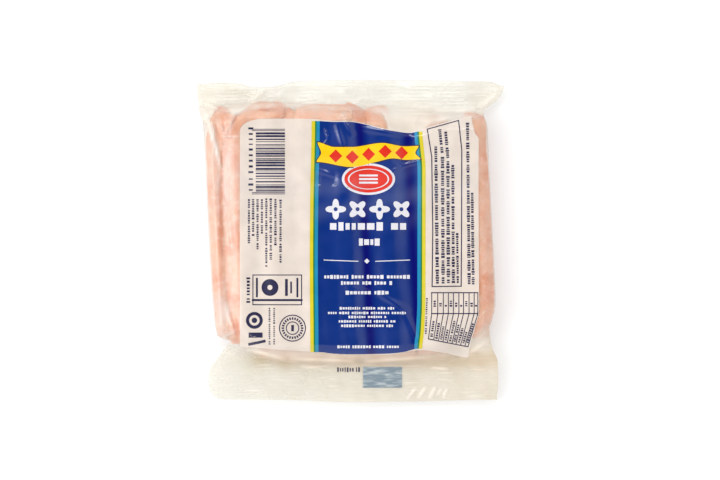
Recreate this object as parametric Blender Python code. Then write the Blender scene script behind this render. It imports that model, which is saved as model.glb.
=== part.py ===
"""A flow-wrapped pack of thin raw sausages, lying on its back.

Eight sausages lie side by side in one layer, their lengths along Y, in a tube of clear film that is
crimped flat across both ends. The pack is one closed solid out to the outer face of the film: a flat
underside, a low ridge over each sausage, shoulders that fall to the seals, and two wide end seals whose
corners stand out past the body. Metres, +Z up, the shown face up, the origin on the ground under the
middle of the pack's box.
"""

import math

import bmesh
import bpy

MM = 0.001

# Half the pack's length, seals included.
HALF_LENGTH = 76.7 * MM

# Heights above the ground.
SIDE_MID_HEIGHT = 8.2 * MM
GROUND_HEIGHT = 0.0
SEAL_ROOT_HEIGHT = 7.4 * MM
SEAL_LIP_HEIGHT = 4.6 * MM

# The film, two layers of it fused and crimped at the seals.
SEAL_THICKNESS = 0.8 * MM
SEAL_WAVE_HEIGHT = 0.55 * MM
SEAL_WAVE_LENGTH = 47.0 * MM
SEAL_WAVE_SHIFT = 8.0 * MM

# The row of sausages: the lines between neighbours where they cross Y = ROW_MIDDLE, from side to side,
# the sideways lean of the row for each metre of height, and the film's height over each crown.
ROW_MIDDLE = 5.7 * MM
ROW_LEAN = -0.051
SAUSAGE_BOUNDARIES = [
    place * MM for place in (-67.5, -60.8, -44.2, -27.2, -10.1, 6.9, 29.2, 48.7, 67.5)
]
CROWN_HEIGHTS = [height * MM for height in (16.2, 17.6, 18.0, 18.0, 18.2, 18.0, 17.6, 16.6)]
VALLEY_DEPTHS = [depth * MM for depth in (0.0, 1.7, 1.0, 1.1, 0.8, 1.3, 1.4, 0.9, 0.0)]

# Plan outline: how far left and right the film reaches at each height up the pack, as (y, x).
LEFT_EDGE = [
    (y * MM, x * MM)
    for y, x in (
        (-76.7, -65.0), (-74.8, -66.4), (-69.4, -67.8), (-61.0, -67.0), (-56.4, -63.7), (-49.7, -58.7),
        (-47.7, -56.9), (-46.3, -61.0), (-44.6, -63.5), (-32.8, -65.1), (5.2, -67.5), (43.2, -69.3),
        (56.5, -70.3), (62.0, -71.9), (76.7, -73.0),
    )
]
RIGHT_EDGE = [
    (y * MM, x * MM)
    for y, x in (
        (-76.7, 69.7), (-68.4, 70.3), (-57.0, 69.9), (-50.8, 67.5), (-42.0, 66.2), (-37.5, 67.4),
        (-30.0, 69.0), (5.7, 67.5), (38.5, 65.8), (54.6, 65.1), (61.4, 63.2), (66.7, 69.4),
        (70.5, 71.7), (76.7, 73.0),
    )
]

# Width in plan of the round side at each height up the pack, as (y, width).
SIDE_ROUNDING = [
    (y * MM, width * MM) for y, width in ((-66.0, 2.4), (-44.0, 7.6), (54.0, 7.6), (70.0, 2.4))
]

# The lips of the seals: how far up or down each one reaches along X, as (x, y).
BOTTOM_LIP = [
    (x * MM, y * MM)
    for x, y in ((-67.0, -73.6), (-62.0, -75.3), (-30.0, -75.6), (-2.0, -76.7), (24.0, -76.5), (70.0, -75.5))
]
TOP_LIP = [
    (x * MM, y * MM)
    for x, y in (
        (-73.0, 74.6), (-61.0, 75.3), (-52.0, 74.6), (-46.5, 73.2), (-39.5, 73.2), (-32.0, 74.6),
        (-26.0, 76.0), (8.0, 76.7), (49.0, 76.3), (66.0, 75.9), (73.0, 73.8),
    )
]

# Across X, where each seal begins and where the film has risen to its full height, as (x, y).
BOTTOM_ROOT = [
    (x * MM, y * MM)
    for x, y in ((-66.0, -47.8), (-57.0, -49.4), (-38.0, -57.6), (-24.0, -59.4), (40.0, -59.4), (66.0, -52.0))
]
BOTTOM_SHOULDER = [
    (x * MM, y * MM)
    for x, y in ((-66.0, -38.5), (-53.0, -41.0), (-38.0, -48.0), (22.0, -49.0), (42.0, -45.5), (60.0, -33.0))
]
TOP_SHOULDER = [
    (x * MM, y * MM)
    for x, y in (
        (-68.0, 54.5), (-52.0, 58.0), (-36.0, 58.0), (-2.0, 56.5), (12.0, 55.0), (28.0, 48.0), (44.0, 52.0),
        (62.0, 52.5),
    )
]
TOP_ROOT = [
    (x * MM, y * MM)
    for x, y in ((-72.0, 64.6), (-38.0, 66.8), (-10.0, 65.2), (20.0, 64.8), (38.0, 62.4), (63.0, 61.9))
]

# How gently the film leaves a seal: 1 leaves at an angle, more leaves it flat.
ROOT_SOFTNESS = 1.25

# Where the straight stretches of the film begin, measured from the middle of the pack.
BOTTOM_SEAL_START = 59.4 * MM
TOP_SEAL_START = 66.8 * MM

# Rows of the film's grid up the pack, as (y, cells from there to the next row of this list), and its
# cells across the top and round each side.
ROW_KNOTS = [
    (y * MM, cells)
    for y, cells in (
        (-76.7, 4), (-59.4, 10), (-44.6, 4), (-33.0, 11), (46.0, 11), (66.8, 4), (76.7, 0),
    )
]
ACROSS_CELLS = 48
SIDE_CELLS = 5

FLAT_ANGLE = math.radians(0.05)
FILM_COLOUR = (0.86, 0.58, 0.47, 1.0)
FILM_ROUGHNESS = 0.28


def clear_scene():
    """Removes whatever the new file holds."""
    for thing in list(bpy.data.objects):
        bpy.data.objects.remove(thing, do_unlink=True)


def through(points, place):
    """Height at place of a smooth curve through (place, height) points that never overshoots them."""
    if place <= points[0][0]:
        return points[0][1]
    if place >= points[-1][0]:
        return points[-1][1]
    index = next(i for i in range(len(points) - 1) if place <= points[i + 1][0])
    slopes = [slope_at(points, index), slope_at(points, index + 1)]
    width = points[index + 1][0] - points[index][0]
    part = (place - points[index][0]) / width
    start = (1 + 2 * part) * (1 - part) ** 2 * points[index][1]
    end = part ** 2 * (3 - 2 * part) * points[index + 1][1]
    leave = part * (1 - part) ** 2 * width * slopes[0]
    arrive = part ** 2 * (part - 1) * width * slopes[1]
    return start + end + leave + arrive


def slope_at(points, index):
    """Slope of that curve at one of its points: level at a turn and at both ends."""
    if index == 0 or index == len(points) - 1:
        return 0.0
    (x0, y0), (x1, y1), (x2, y2) = points[index - 1 : index + 2]
    before = (y1 - y0) / (x1 - x0)
    after = (y2 - y1) / (x2 - x1)
    if before * after <= 0:
        return 0.0
    return 2 * before * after / (before + after)


def fullness(x, y):
    """How full the pack is at a place: 0 on the seals, 1 over the sausages, rounding off at their ends.
    The film leaves a seal at a low slope, steepens, and is level again where it reaches full height."""
    up = (y - through(BOTTOM_ROOT, x)) / (through(BOTTOM_SHOULDER, x) - through(BOTTOM_ROOT, x))
    down = (through(TOP_ROOT, x) - y) / (through(TOP_ROOT, x) - through(TOP_SHOULDER, x))
    rise = max(0.0, min(1.0, up, down))
    return math.sin(0.5 * math.pi * rise ** ROOT_SOFTNESS)


def crown_height(x, y):
    """Film height over the row of sausages: a low ridge on each one and a valley between neighbours."""
    place = x - ROW_LEAN * (y - ROW_MIDDLE)
    place = max(SAUSAGE_BOUNDARIES[0], min(SAUSAGE_BOUNDARIES[-1], place))
    index = next(i for i in range(len(CROWN_HEIGHTS)) if place <= SAUSAGE_BOUNDARIES[i + 1])
    left, right = SAUSAGE_BOUNDARIES[index : index + 2]
    across = 2 * (place - left) / (right - left) - 1
    depth = VALLEY_DEPTHS[index] if across < 0 else VALLEY_DEPTHS[index + 1]
    centres = [(a + b) / 2 for a, b in zip(SAUSAGE_BOUNDARIES, SAUSAGE_BOUNDARIES[1:])]
    crown = through(list(zip(centres, CROWN_HEIGHTS)), place)
    return crown - depth * across ** 2


def seal_height(x, y):
    """Middle height of a seal: it droops from its root to its lip, with a slow wave along it."""
    droop = seal_share(abs(y), BOTTOM_SEAL_START)
    shift = SEAL_WAVE_SHIFT if y > 0 else 0.0
    wave = SEAL_WAVE_HEIGHT * math.sin(2 * math.pi * (x + shift) / SEAL_WAVE_LENGTH)
    return SEAL_ROOT_HEIGHT + (SEAL_LIP_HEIGHT - SEAL_ROOT_HEIGHT) * droop + wave * droop


def film_point(across, along, face):
    """A point of the film: across from -1 at the left side to 1 at the right, along in metres up the
    pack, face 1 on top and -1 underneath. The sides are quarter turns that both faces share."""
    left = through(LEFT_EDGE, along)
    right = through(RIGHT_EDGE, along)
    side = SIDE_CELLS / (SIDE_CELLS + ACROSS_CELLS / 2)
    turn = max(0.0, (abs(across) - (1 - side)) / side) * 0.5 * math.pi
    flat = max(-1.0, min(1.0, across / (1 - side)))

    rounding = through(SIDE_ROUNDING, along)
    x = left + rounding + (right - left - 2 * rounding) * (flat + 1) / 2
    x += math.copysign(rounding * math.sin(turn), across)

    short_below = HALF_LENGTH + through(BOTTOM_LIP, x)
    short_above = HALF_LENGTH - through(TOP_LIP, x)
    y = along + short_below * seal_share(-along, BOTTOM_SEAL_START)
    y -= short_above * seal_share(along, TOP_SEAL_START)

    full = fullness(x, y)
    middle = seal_height(x, along) * (1 - full) + SIDE_MID_HEIGHT * full
    top = (seal_height(x, along) + SEAL_THICKNESS / 2) * (1 - full) + crown_height(x, y) * full
    bottom = (seal_height(x, along) - SEAL_THICKNESS / 2) * (1 - full) + GROUND_HEIGHT * full
    surface = top if face > 0 else bottom
    return x, y, middle + (surface - middle) * math.cos(turn)


def seal_share(reach, start):
    """How far a place lies across a seal: 0 at its root, 1 at its lip."""
    return max(0.0, min(1.0, (reach - start) / (HALF_LENGTH - start)))


def stations():
    """Places along the pack where the grid has a row, close together over the shoulders."""
    rows = []
    for (start, cells), (end, _) in zip(ROW_KNOTS, ROW_KNOTS[1:]):
        rows += [start + (end - start) * cell / cells for cell in range(cells)]
    return rows + [HALF_LENGTH]


def pack_mesh():
    """The closed skin of the pack: a top face, an underside, and end walls at the two lips."""
    columns = ACROSS_CELLS + 2 * SIDE_CELLS
    rows = stations()
    mesh = bmesh.new()
    top = []
    bottom = []
    for along in rows:
        upper = [
            mesh.verts.new(film_point(2 * column / columns - 1, along, 1)) for column in range(columns + 1)
        ]
        lower = [
            mesh.verts.new(film_point(2 * column / columns - 1, along, -1)) for column in range(1, columns)
        ]
        top.append(upper)
        bottom.append([upper[0]] + lower + [upper[-1]])
    for row in range(len(rows) - 1):
        for column in range(columns):
            add_face(mesh, top[row], top[row + 1], column)
            add_face(mesh, bottom[row + 1], bottom[row], column)
    for column in range(columns):
        add_face(mesh, bottom[0], top[0], column)
        add_face(mesh, top[-1], bottom[-1], column)
    bmesh.ops.recalc_face_normals(mesh, faces=mesh.faces)
    return mesh


def add_face(mesh, near, far, column):
    """One face between two rows of points, a triangle where the rows share a corner."""
    corners = []
    for vertex in (near[column], near[column + 1], far[column + 1], far[column]):
        if vertex not in corners:
            corners.append(vertex)
    mesh.faces.new(corners)


def flatten_underside(mesh):
    """Merges the level faces that the pack lies on, so that they are one flat face."""
    level = [
        face
        for face in mesh.faces
        if all(abs(vertex.co.z - GROUND_HEIGHT) < 1e-7 for vertex in face.verts)
    ]
    edges = {edge for face in level for edge in face.edges}
    vertices = {vertex for face in level for vertex in face.verts}
    bmesh.ops.dissolve_limit(mesh, angle_limit=FLAT_ANGLE, verts=list(vertices), edges=list(edges))


def film_material():
    """Clear film over pink meat, as one colour."""
    material = bpy.data.materials.new("film_over_sausages")
    material.use_nodes = True
    shader = material.node_tree.nodes["Principled BSDF"]
    shader.inputs["Base Color"].default_value = FILM_COLOUR
    shader.inputs["Roughness"].default_value = FILM_ROUGHNESS
    shader.inputs["Metallic"].default_value = 0.0
    return material


def build_pack():
    """The pack as one object."""
    mesh = pack_mesh()
    flatten_underside(mesh)
    data = bpy.data.meshes.new("sausage_pack")
    mesh.to_mesh(data)
    mesh.free()
    data.materials.append(film_material())
    data.shade_smooth()
    data.set_sharp_from_angle(angle=math.radians(40))
    pack = bpy.data.objects.new("sausage_pack", data)
    bpy.context.collection.objects.link(pack)
    return pack


clear_scene()
build_pack()
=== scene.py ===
"""The looks of a flow-wrapped pack of thin raw sausages: clear film, meat, print and a plain stage.

Lengths are in millimetres in the tables and functions, in the pack's own frame: X across the row of
sausages, Y along them, Z up out of the printed face. They become metres when a mesh is made.
"""

import math

import bpy
import numpy as np
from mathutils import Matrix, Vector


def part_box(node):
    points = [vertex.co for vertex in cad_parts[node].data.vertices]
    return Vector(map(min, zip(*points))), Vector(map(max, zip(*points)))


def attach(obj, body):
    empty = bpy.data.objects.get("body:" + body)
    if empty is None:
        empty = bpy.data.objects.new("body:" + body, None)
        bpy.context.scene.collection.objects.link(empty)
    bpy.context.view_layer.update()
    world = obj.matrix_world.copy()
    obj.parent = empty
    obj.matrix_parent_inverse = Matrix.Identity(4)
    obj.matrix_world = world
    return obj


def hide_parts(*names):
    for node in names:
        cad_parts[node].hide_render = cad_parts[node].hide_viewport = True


bl_info = {
    "name": "Sausage Pack",
    "version": (1, 0, 0),
    "blender": (4, 5, 0),
    "location": "3D View > Sidebar > Sausage Pack",
    "description": "Builds a flow-wrapped pack of thin raw sausages",
    "category": "Object",
}

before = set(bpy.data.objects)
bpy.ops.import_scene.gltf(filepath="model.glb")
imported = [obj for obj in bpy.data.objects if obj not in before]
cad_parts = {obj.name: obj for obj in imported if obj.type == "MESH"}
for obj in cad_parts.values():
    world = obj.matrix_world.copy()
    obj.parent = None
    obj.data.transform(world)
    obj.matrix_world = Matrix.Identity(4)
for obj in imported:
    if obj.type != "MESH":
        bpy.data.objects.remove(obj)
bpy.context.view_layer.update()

MM = 0.001
WAVE_COUNT = 8
NODE = "sausage_pack"
BODY = "root"
_, HIGH = (np.array(corner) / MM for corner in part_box(NODE))

# The film's form, the same as the solid's: half its length, its heights, and the thickness of a seal.
HALF_LENGTH = HIGH[1]
SIDE_MID_HEIGHT = 8.2
SEAL_ROOT_HEIGHT = 7.4
SEAL_LIP_HEIGHT = 4.6
SEAL_THICKNESS = 0.7
SEAL_WAVE_HEIGHT = 0.55
SEAL_WAVE_LENGTH = 47.0
SEAL_WAVE_SHIFT = 8.0
ROOT_SOFTNESS = 1.25

# The row of sausages, as lines between neighbours where they cross Y = ROW_MIDDLE, and its lean.
ROW_MIDDLE = 5.7
ROW_LEAN = -0.051
BOUNDARIES = (-67.5, -60.8, -44.2, -27.2, -10.1, 6.9, 29.2, 48.7, 67.5)
CROWNS = (16.2, 17.6, 18.0, 18.0, 18.2, 18.0, 17.6, 16.6)
VALLEYS = (0.0, 1.7, 1.0, 1.1, 0.8, 1.3, 1.4, 0.9, 0.0)

# Plan outline of the film, as (y, x), and the width of its round sides, as (y, width).
LEFT_EDGE = (
    (-76.7, -65.0), (-74.8, -66.4), (-69.4, -67.8), (-61.0, -67.0), (-56.4, -63.7), (-49.7, -58.7),
    (-47.7, -56.9), (-46.3, -61.0), (-44.6, -63.5), (-32.8, -65.1), (5.2, -67.5), (43.2, -69.3),
    (56.5, -70.3), (62.0, -71.9), (76.7, -73.0),
)
RIGHT_EDGE = (
    (-76.7, 69.7), (-68.4, 70.3), (-57.0, 69.9), (-50.8, 67.5), (-42.0, 66.2), (-37.5, 67.4),
    (-30.0, 69.0), (5.7, 67.5), (38.5, 65.8), (54.6, 65.1), (61.4, 63.2), (66.7, 69.4),
    (70.5, 71.7), (76.7, 73.0),
)
SIDE_ROUNDING = ((-66.0, 2.4), (-44.0, 7.6), (54.0, 7.6), (70.0, 2.4))

# Lips, roots and shoulders of the two ends, as (x, y).
BOTTOM_LIP = ((-67.0, -73.6), (-62.0, -75.3), (-30.0, -75.6), (-2.0, -76.7), (24.0, -76.5), (70.0, -75.5))
TOP_LIP = (
    (-73.0, 74.6), (-61.0, 75.3), (-52.0, 74.6), (-46.5, 73.2), (-39.5, 73.2), (-32.0, 74.6),
    (-26.0, 76.0), (8.0, 76.7), (49.0, 76.3), (66.0, 75.9), (73.0, 73.8),
)
BOTTOM_ROOT = ((-66.0, -47.8), (-57.0, -49.4), (-38.0, -57.6), (-24.0, -59.4), (40.0, -59.4), (66.0, -52.0))
BOTTOM_SHOULDER = (
    (-66.0, -38.5), (-53.0, -41.0), (-38.0, -48.0), (22.0, -49.0), (42.0, -45.5), (60.0, -33.0),
)
TOP_SHOULDER = (
    (-68.0, 54.5), (-52.0, 58.0), (-36.0, 58.0), (-2.0, 56.5), (12.0, 55.0), (28.0, 48.0), (44.0, 52.0),
    (62.0, 52.5),
)
TOP_ROOT = ((-72.0, 64.6), (-38.0, 66.8), (-10.0, 65.2), (20.0, 64.8), (38.0, 62.4), (63.0, 61.9))
BOTTOM_SEAL_START = 59.4
TOP_SEAL_START = 66.8

# Where the film leaves the meat towards each end and turns milky, as (x, y).
TOP_CLEAR = (
    (-72.0, 56.0), (-66.0, 60.0), (-61.0, 62.8), (-58.0, 62.0), (-55.5, 60.0), (-52.5, 60.2), (-46.0, 63.6),
    (-30.0, 64.0), (-10.0, 63.6), (8.0, 63.0), (14.0, 61.0), (17.0, 56.0), (18.6, 50.0), (24.0, 49.5),
    (32.0, 50.0), (38.0, 55.0), (48.0, 57.2), (58.0, 58.4), (66.0, 59.6),
)
BOTTOM_CLEAR = ((-66.0, -43.0), (-54.0, -49.5), (40.0, -52.5), (51.0, -51.5), (57.0, -48.0), (66.0, -40.0))

# Milkier spots of the film: place, reach along X and Y, and how much milkier.
HAZE_SPOTS = (
    ((-62.5, -35.0), (4.5, 12.0), 0.46), ((-60.0, 30.0), (9.0, 20.0), 0.28),
    ((28.0, 62.0), (16.0, 5.0), 0.3), ((-14.0, 62.0), (12.0, 3.0), 0.12),
    ((-66.0, 59.5), (4.0, 5.0), -0.2), ((62.0, -50.0), (6.0, 5.0), 0.2),
    ((-61.3, 26.0), (0.9, 22.0), -0.3),
)

# Warmer spots of the film at its far end, in the same way.
WARM_SPOTS = (((-68.0, 72.0), (26.0, 14.0), 0.22), ((30.0, 56.0), (16.0, 7.0), 0.45))

# Warmth of the far and of the near seal, what the near one gains per millimetre to the right as painted shade
# towards its right end, and the painted shade towards its root and at the pack's right side, both as amount,
# place, reach. The shade darkens and warms the film's tint.
FAR_WARMTH = 0.15
NEAR_WARMTH = 0.21
SHADE_PER_MM = 0.0022
ROOT_SHADE = (0.65, -56.0, 4.5)
RIGHT_SHADE = (0.15, 54, 5)

# Places where the ribs stand higher, in the same way.
RIB_SPOTS = (((15.2, -64.8), (12.0, 7.0), 1.2),)

# How far the film lies below the row's crowns, its slow relief (height, size, seed), and half the depth of
# its grooves between sausages underneath.
BODY_DROP = 0.65
BODY_RELIEF = (0.1, 17.0, 41)
HALF_GROOVE = 0.25

# How far in from each side the film lies loose, and how loose it is where it is tightest.
LEFT_SLACK_REACH = 13.0
RIGHT_SLACK_REACH = 7.0
LEAST_SLACK = 0.1

# Pleats: how far they reach from a root, the length over which they start, and two sets of waves across the
# pack, as share, stretch along Y, size, seed.
PLEAT_REACH = 6.0
PLEAT_START = 1.5
PLEAT_WAVES = ((1.0, 0.12, 5.5, 21), (0.6, 0.2, 2.6, 22))

# Ribs: their gap to a root, the length over which they start, the bend of their lines and the buckle of the
# seal between them, both as height, size, seed.
RIB_GAP = 0.6
RIB_START = 1.5
RIB_BEND = (0.3, 24.0, 31)
SEAL_BUCKLE = (0.14, 11.0, 33)

# Milkiness: the lengths over which it sets in towards the far and the near end. On the seals: its share, a
# spot in the far left corner, and what it gains towards the near right corner, over PACK_SPAN, which greys
# that corner as painted shade.
TOP_CLEAR_LENGTH = 3.2
BOTTOM_CLEAR_LENGTH = 5.0
SEAL_MILK = 0.8
SEAL_MILK_SPOTS = (((-68.0, 72.0), (26.0, 14.0), 0.15),)
NEAR_RIGHT_MILK_SHADE = 1.1
PACK_SPAN = 150

# What folds add to the milkiness, partly the film's own whitening and partly painted glints, what they add on
# top of that on loose or sealed film, and what facets add, a painted highlight.
# The height from which a fold is sharp, and how far inside its sides a facet is whole.
FOLD_WHITE_AND_GLINT = 0.2
LOOSE_FOLD_WHITE_AND_GLINT = 0.12
FACET_HIGHLIGHT = 0.45
SHARP_FOLD = 0.5
FACET_SOFTNESS = 0.5

# Folds of the film, as two ends, height, and half width at each end.
FOLDS = (
    ((-69.0, 61.0), (-61.3, 34.0), 1.0, (1.7, 0.7)),
    ((-66.5, 62.0), (-60.5, 52.0), 0.6, (0.9, 0.8)),
    ((-61.8, 49.8), (-51.5, 48.9), 0.35, (0.7, 0.7)),
    ((-56.0, 61.5), (-57.4, 48.8), 0.35, (1.3, 0.8)),
    ((-63.5, 60.8), (-56.5, 61.6), 0.4, (0.8, 0.7)),
    ((-61.5, 57.5), (-60.2, 50.5), 0.35, (0.6, 0.6)),
    ((-62.8, 59.8), (-60.8, 55.8), 0.4, (0.5, 0.5)),
    ((-60.4, 60.6), (-58.4, 56.8), 0.4, (0.5, 0.5)),
    ((-66.8, 58.2), (-61.5, 61.0), 0.4, (0.7, 0.7)),
    ((-58.5, 18.0), (-56.0, -6.0), 0.25, (0.8, 0.8)),
    ((-60.6, -26.5), (-54.6, -46.0), 0.5, (1.3, 0.8)),
    ((-6.8, 55.8), (-3.4, 44.8), 0.5, (1.1, 0.9)),
    ((-12.6, 54.6), (-10.2, 48.0), 0.4, (0.6, 0.6)),
    ((-10.4, 48.6), (-13.4, 44.2), 0.4, (0.6, 0.6)),
    ((-15.4, 33.0), (-15.6, 26.0), -0.7, (1.6, 1.6)),
    ((-8.0, 33.0), (-7.8, 26.0), -0.6, (1.8, 1.8)),
    ((-4.2, 61.5), (1.4, 49.6), 0.75, (1.2, 1.0)),
    ((-16.5, 34.0), (-4.0, 29.6), 0.5, (1.0, 1.2)),
    ((19.2, 32.4), (23.7, 35.4), 0.45, (1.0, 1.0)),
    ((23.3, 35.3), (34.0, 38.2), 0.45, (1.0, 1.0)),
    ((2.0, 54.0), (28.0, 49.5), 0.5, (1.6, 1.2)),
    ((-2.6, -22.0), (13.0, -24.5), 0.35, (1.2, 1.2)),
    ((12.6, -24.4), (28.3, -34.0), 0.45, (1.2, 1.4)),
    ((25.9, -33.8), (32.6, -49.6), 0.5, (1.3, 1.1)),
    ((61.0, -36.2), (65.0, -32.0), 0.45, (0.6, 0.6)),
    ((64.4, -31.8), (68.4, -35.0), 0.45, (0.6, 0.6)),
    ((68.2, -34.0), (65.8, -41.0), 0.4, (0.7, 0.6)),
    ((31.6, -69.6), (26.6, -75.4), 0.6, (0.7, 0.6)),
    ((36.0, -69.2), (32.0, -75.2), 0.6, (0.9, 0.8)),
    ((40.6, -69.0), (37.4, -75.4), 0.6, (0.9, 0.9)),
    ((43.4, -70.0), (41.4, -73.6), 0.5, (0.6, 0.6)),
    ((45.9, -69.8), (44.2, -75.2), 0.6, (0.6, 0.6)),
    ((38.0, -60.2), (47.0, -61.0), 0.45, (0.7, 0.7)),
    ((-24.0, -59.7), (-13.0, -60.3), 0.45, (0.8, 0.7)),
    ((-55.4, -36.5), (-53.4, -45.5), -0.6, (0.8, 0.8)),
    ((-50.0, -51.5), (-30.0, -56.5), 0.6, (0.9, 1.3)),
    ((-30.0, -56.0), (2.0, -57.2), 0.5, (1.0, 0.8)),
    ((6.0, -57.4), (36.0, -55.4), 0.5, (0.9, 0.9)),
    ((-61.5, -46.0), (-52.0, -41.5), 0.5, (0.8, 0.9)),
    ((52.0, -56.5), (66.0, -47.0), 0.3, (1.2, 1.2)),
    ((-70.5, 66.0), (-62.5, 62.5), 0.5, (1.2, 0.8)),
    ((-40.5, 73.0), (-47.5, 66.0), 0.4, (1.0, 0.8)),
    ((61.0, 63.0), (70.5, 71.0), 0.6, (0.9, 1.3)),
    ((40.0, 62.0), (60.0, 62.4), 0.4, (0.8, 0.8)),
)

# Taut flat facets of film: three corners in plan, the height at the first, and its rise along X and Y.
FACETS = ((((-61.4, 33.5), (-65.4, 57.0), (-69.2, 57.5)), 15.75, (0.45, 0.078)),)

# Fine creases: size of the relief whose zero lines they follow, height, share of it they take, seed. How much
# slower the relief is that picks where they lie, and the share of their height that they have on the seals.
CREASES = ((16.0, 0.45, 0.14, 51), (9.0, 0.22, 0.18, 54))
CREASE_PATCH = 2.2
CREASE_ON_SEALS = 0.4

# Rows of the film's grid, as (place up the pack, rows from there to the next), and the cells across its
# top and each side. All the counts are even, because the underside has half as many.
ROW_KNOTS = ((-76.7, 56), (-59.4, 44), (-44.0, 130), (48.0, 44), (65.0, 36), (76.7, 0))
ACROSS_CELLS = 200
SIDE_CELLS = 12

# Sausages: centreline as (x, y), half widths at its start, middle and end, length of each dome, how far
# its far end dips under its neighbour's, and how much deeper its pink is.
SAUSAGES = (
    (
        ((-61.2, -45.8), (-63.8, 5.7), (-64.7, 30.0), (-64.2, 44.0), (-61.8, 54.0), (-57.8, 62.8)),
        (4.2, 4.0, 6.2), (6.0, 5.0), 0.0, 0.0,
    ),
    (
        (
            (-51.0, -48.8), (-53.2, 5.7), (-54.6, 36.0), (-53.0, 49.0), (-48.3, 56.6), (-42.0, 61.0),
            (-31.0, 60.8),
        ),
        (7.8, 8.3, 4.7), (8.0, 4.0), 0.0, 0.32,
    ),
    (((-33.4, -54.9), (-35.7, 5.7), (-37.0, 48.0), (-30.2, 64.3)), (9.6, 8.8, 7.0), (4.5, 5.0), 2.0, 0.3),
    (
        (
            (-16.0, -55.9), (-18.6, 5.7), (-21.6, 44.0), (-22.8, 54.0), (-20.6, 57.6), (-13.0, 59.2),
            (1.2, 60.4),
        ),
        (9.8, 8.9, 4.8), (4.5, 4.5), 0.0, -0.1,
    ),
    (((1.0, -55.9), (-1.6, 5.7), (-2.6, 46.0), (5.0, 63.2)), (9.8, 8.9, 7.4), (4.5, 5.0), 1.4, 0.3),
    (((20.6, -55.7), (18.0, 5.7), (15.0, 42.0), (11.2, 64.2)), (11.4, 11.3, 5.6), (4.5, 6.0), 0.0, 0.3),
    (((41.0, -53.9), (39.0, 5.7), (37.6, 40.0), (42.6, 59.4)), (10.4, 10.0, 5.0), (6.0, 7.0), 0.0, 0.3),
    (((60.4, -46.0), (58.2, 5.7), (56.6, 42.0), (59.8, 60.8)), (7.0, 9.6, 6.0), (7.0, 7.0), 0.0, 0.05),
)

# Where along its line a sausage has its middle width, as shares of its length.
WIDE_FROM = 0.3
WIDE_TO = 0.7

# The length over which an end dips, and the depth of a sausage's slow dents.
DIP_LENGTH = 16.0
DENT_DEPTH = 0.16

# A sausage whose line has more than BEND_POINTS points bends over at its far end and wrinkles inside the
# bend: the wrinkle's depth, its place and width across the section, and where it starts and stops before
# the end.
BEND_POINTS = 6
WRINKLE_DEPTH = 0.9
WRINKLE_PLACE = -0.25
WRINKLE_WIDTH = 0.12
WRINKLE_START = 16
WRINKLE_STOP = 2

# Deeper pink spots on the meat: place, reach along X and Y, and how much deeper. Most are painted shade, in
# the creases beside the first two sausages and in the notches between sausage ends; those below zero are
# painted light, paler meat where it lies in shade; a few are the meat's own deeper or paler pink.
PINK_SHADE_AND_LIGHT_SPOTS = (
    ((-52.5, 47.0), (3.5, 14.0), -0.6), ((-61.3, 16.0), (0.9, 22.0), 1.5), ((-60.4, 43.0), (0.8, 7.0), 1.0),
    ((-62.5, 23.5), (1.4, 3.0), 0.5), ((-62.7, 12.6), (1.2, 3.2), 0.45), ((-54.2, -42.4), (1.5, 3.4), 1.5),
    ((-62.7, 5.0), (0.7, 7.0), 0.6), ((4.0, 59.4), (3.4, 4.4), 1.3), ((-37.0, 62.4), (5.0, 1.2), 0.5),
    ((-31.8, 60.6), (1.0, 2.8), 1.4), ((63.0, -28.0), (7.0, 14.0), -0.3), ((-45.0, 60.5), (9.0, 5.0), -0.5),
    ((-12.0, 60.5), (17.0, 4.5), -0.6), ((60.5, 57.0), (3.6, 5.0), 0.4), ((-59.4, 57.0), (3.4, 4.2), 0.7),
    ((-58.2, 50.6), (1.0, 3.4), 0.6), ((-62.0, 50.5), (1.6, 3.0), 0.35),
)

# How much deeper the pink is at a sausage's ends, over END_REACH, and how much deeper it is as painted shade
# in the crevices between sausages and in the wrinkle.
END_PINK = 0.45
END_REACH = 4.5
CREVICE_SHADE = 0.7
WRINKLE_SHADE = 1.1

# Grid, section, nubs, and gaps to the film above and beside.
SAUSAGE_STATIONS = 120
SAUSAGE_SIDES = 56
SQUARENESS = 2.35
SAUSAGE_MID_HEIGHT = 9.0
SAUSAGE_HALF_HEIGHT = 8.9
NUB_SHARE = 0.22
NUB_LENGTH = 2.0
FILM_GAP = 0.22
SIDE_GAP = 0.3
SIDE_SOFTNESS = 1.0

# Print: panels between side curves, as (y, x), and end curves, as (x, y).
WHITE_LEFT = ((-50.3, -52.5), (52.4, -52.5))
WHITE_RIGHT = (
    (-55.4, 56.1), (-40.9, 59.1), (-32.8, 61.0), (29.9, 60.7), (48.4, 60.8), (51.3, 59.1), (59.0, 57.5),
)
WHITE_LOWER = (
    (-52.5, -50.3), (-33.5, -51.5), (-15.4, -52.7), (-0.2, -53.9), (16.4, -53.9), (34.0, -51.7),
    (44.9, -53.2), (56.1, -55.4),
)
WHITE_UPPER = (
    (-52.5, 52.4), (-51.9, 54.0), (-50.6, 55.4), (-47.5, 57.0), (-44.0, 57.9), (-36.0, 58.1), (-18.0, 57.9),
    (-12.0, 57.3), (-7.4, 57.0), (-0.2, 56.9), (6.9, 55.7), (14.0, 53.8), (21.1, 52.4), (28.3, 51.7),
    (31.1, 52.2), (34.9, 53.4), (42.5, 55.6), (51.1, 57.9), (57.5, 59.4),
)
BLUE_LEFT = ((-52.7, -15.2), (-9.0, -15.5), (19.5, -15.3), (57.0, -14.6))
BLUE_RIGHT = ((-51.3, 30.2), (-42.3, 31.1), (-28.0, 31.7), (33.7, 31.8), (43.2, 31.0), (51.5, 30.3))
BLUE_LOWER = ((-15.3, -52.6), (-7.4, -53.4), (-0.2, -53.7), (16.4, -53.4), (24.5, -52.7), (32.3, -51.0))
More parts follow.
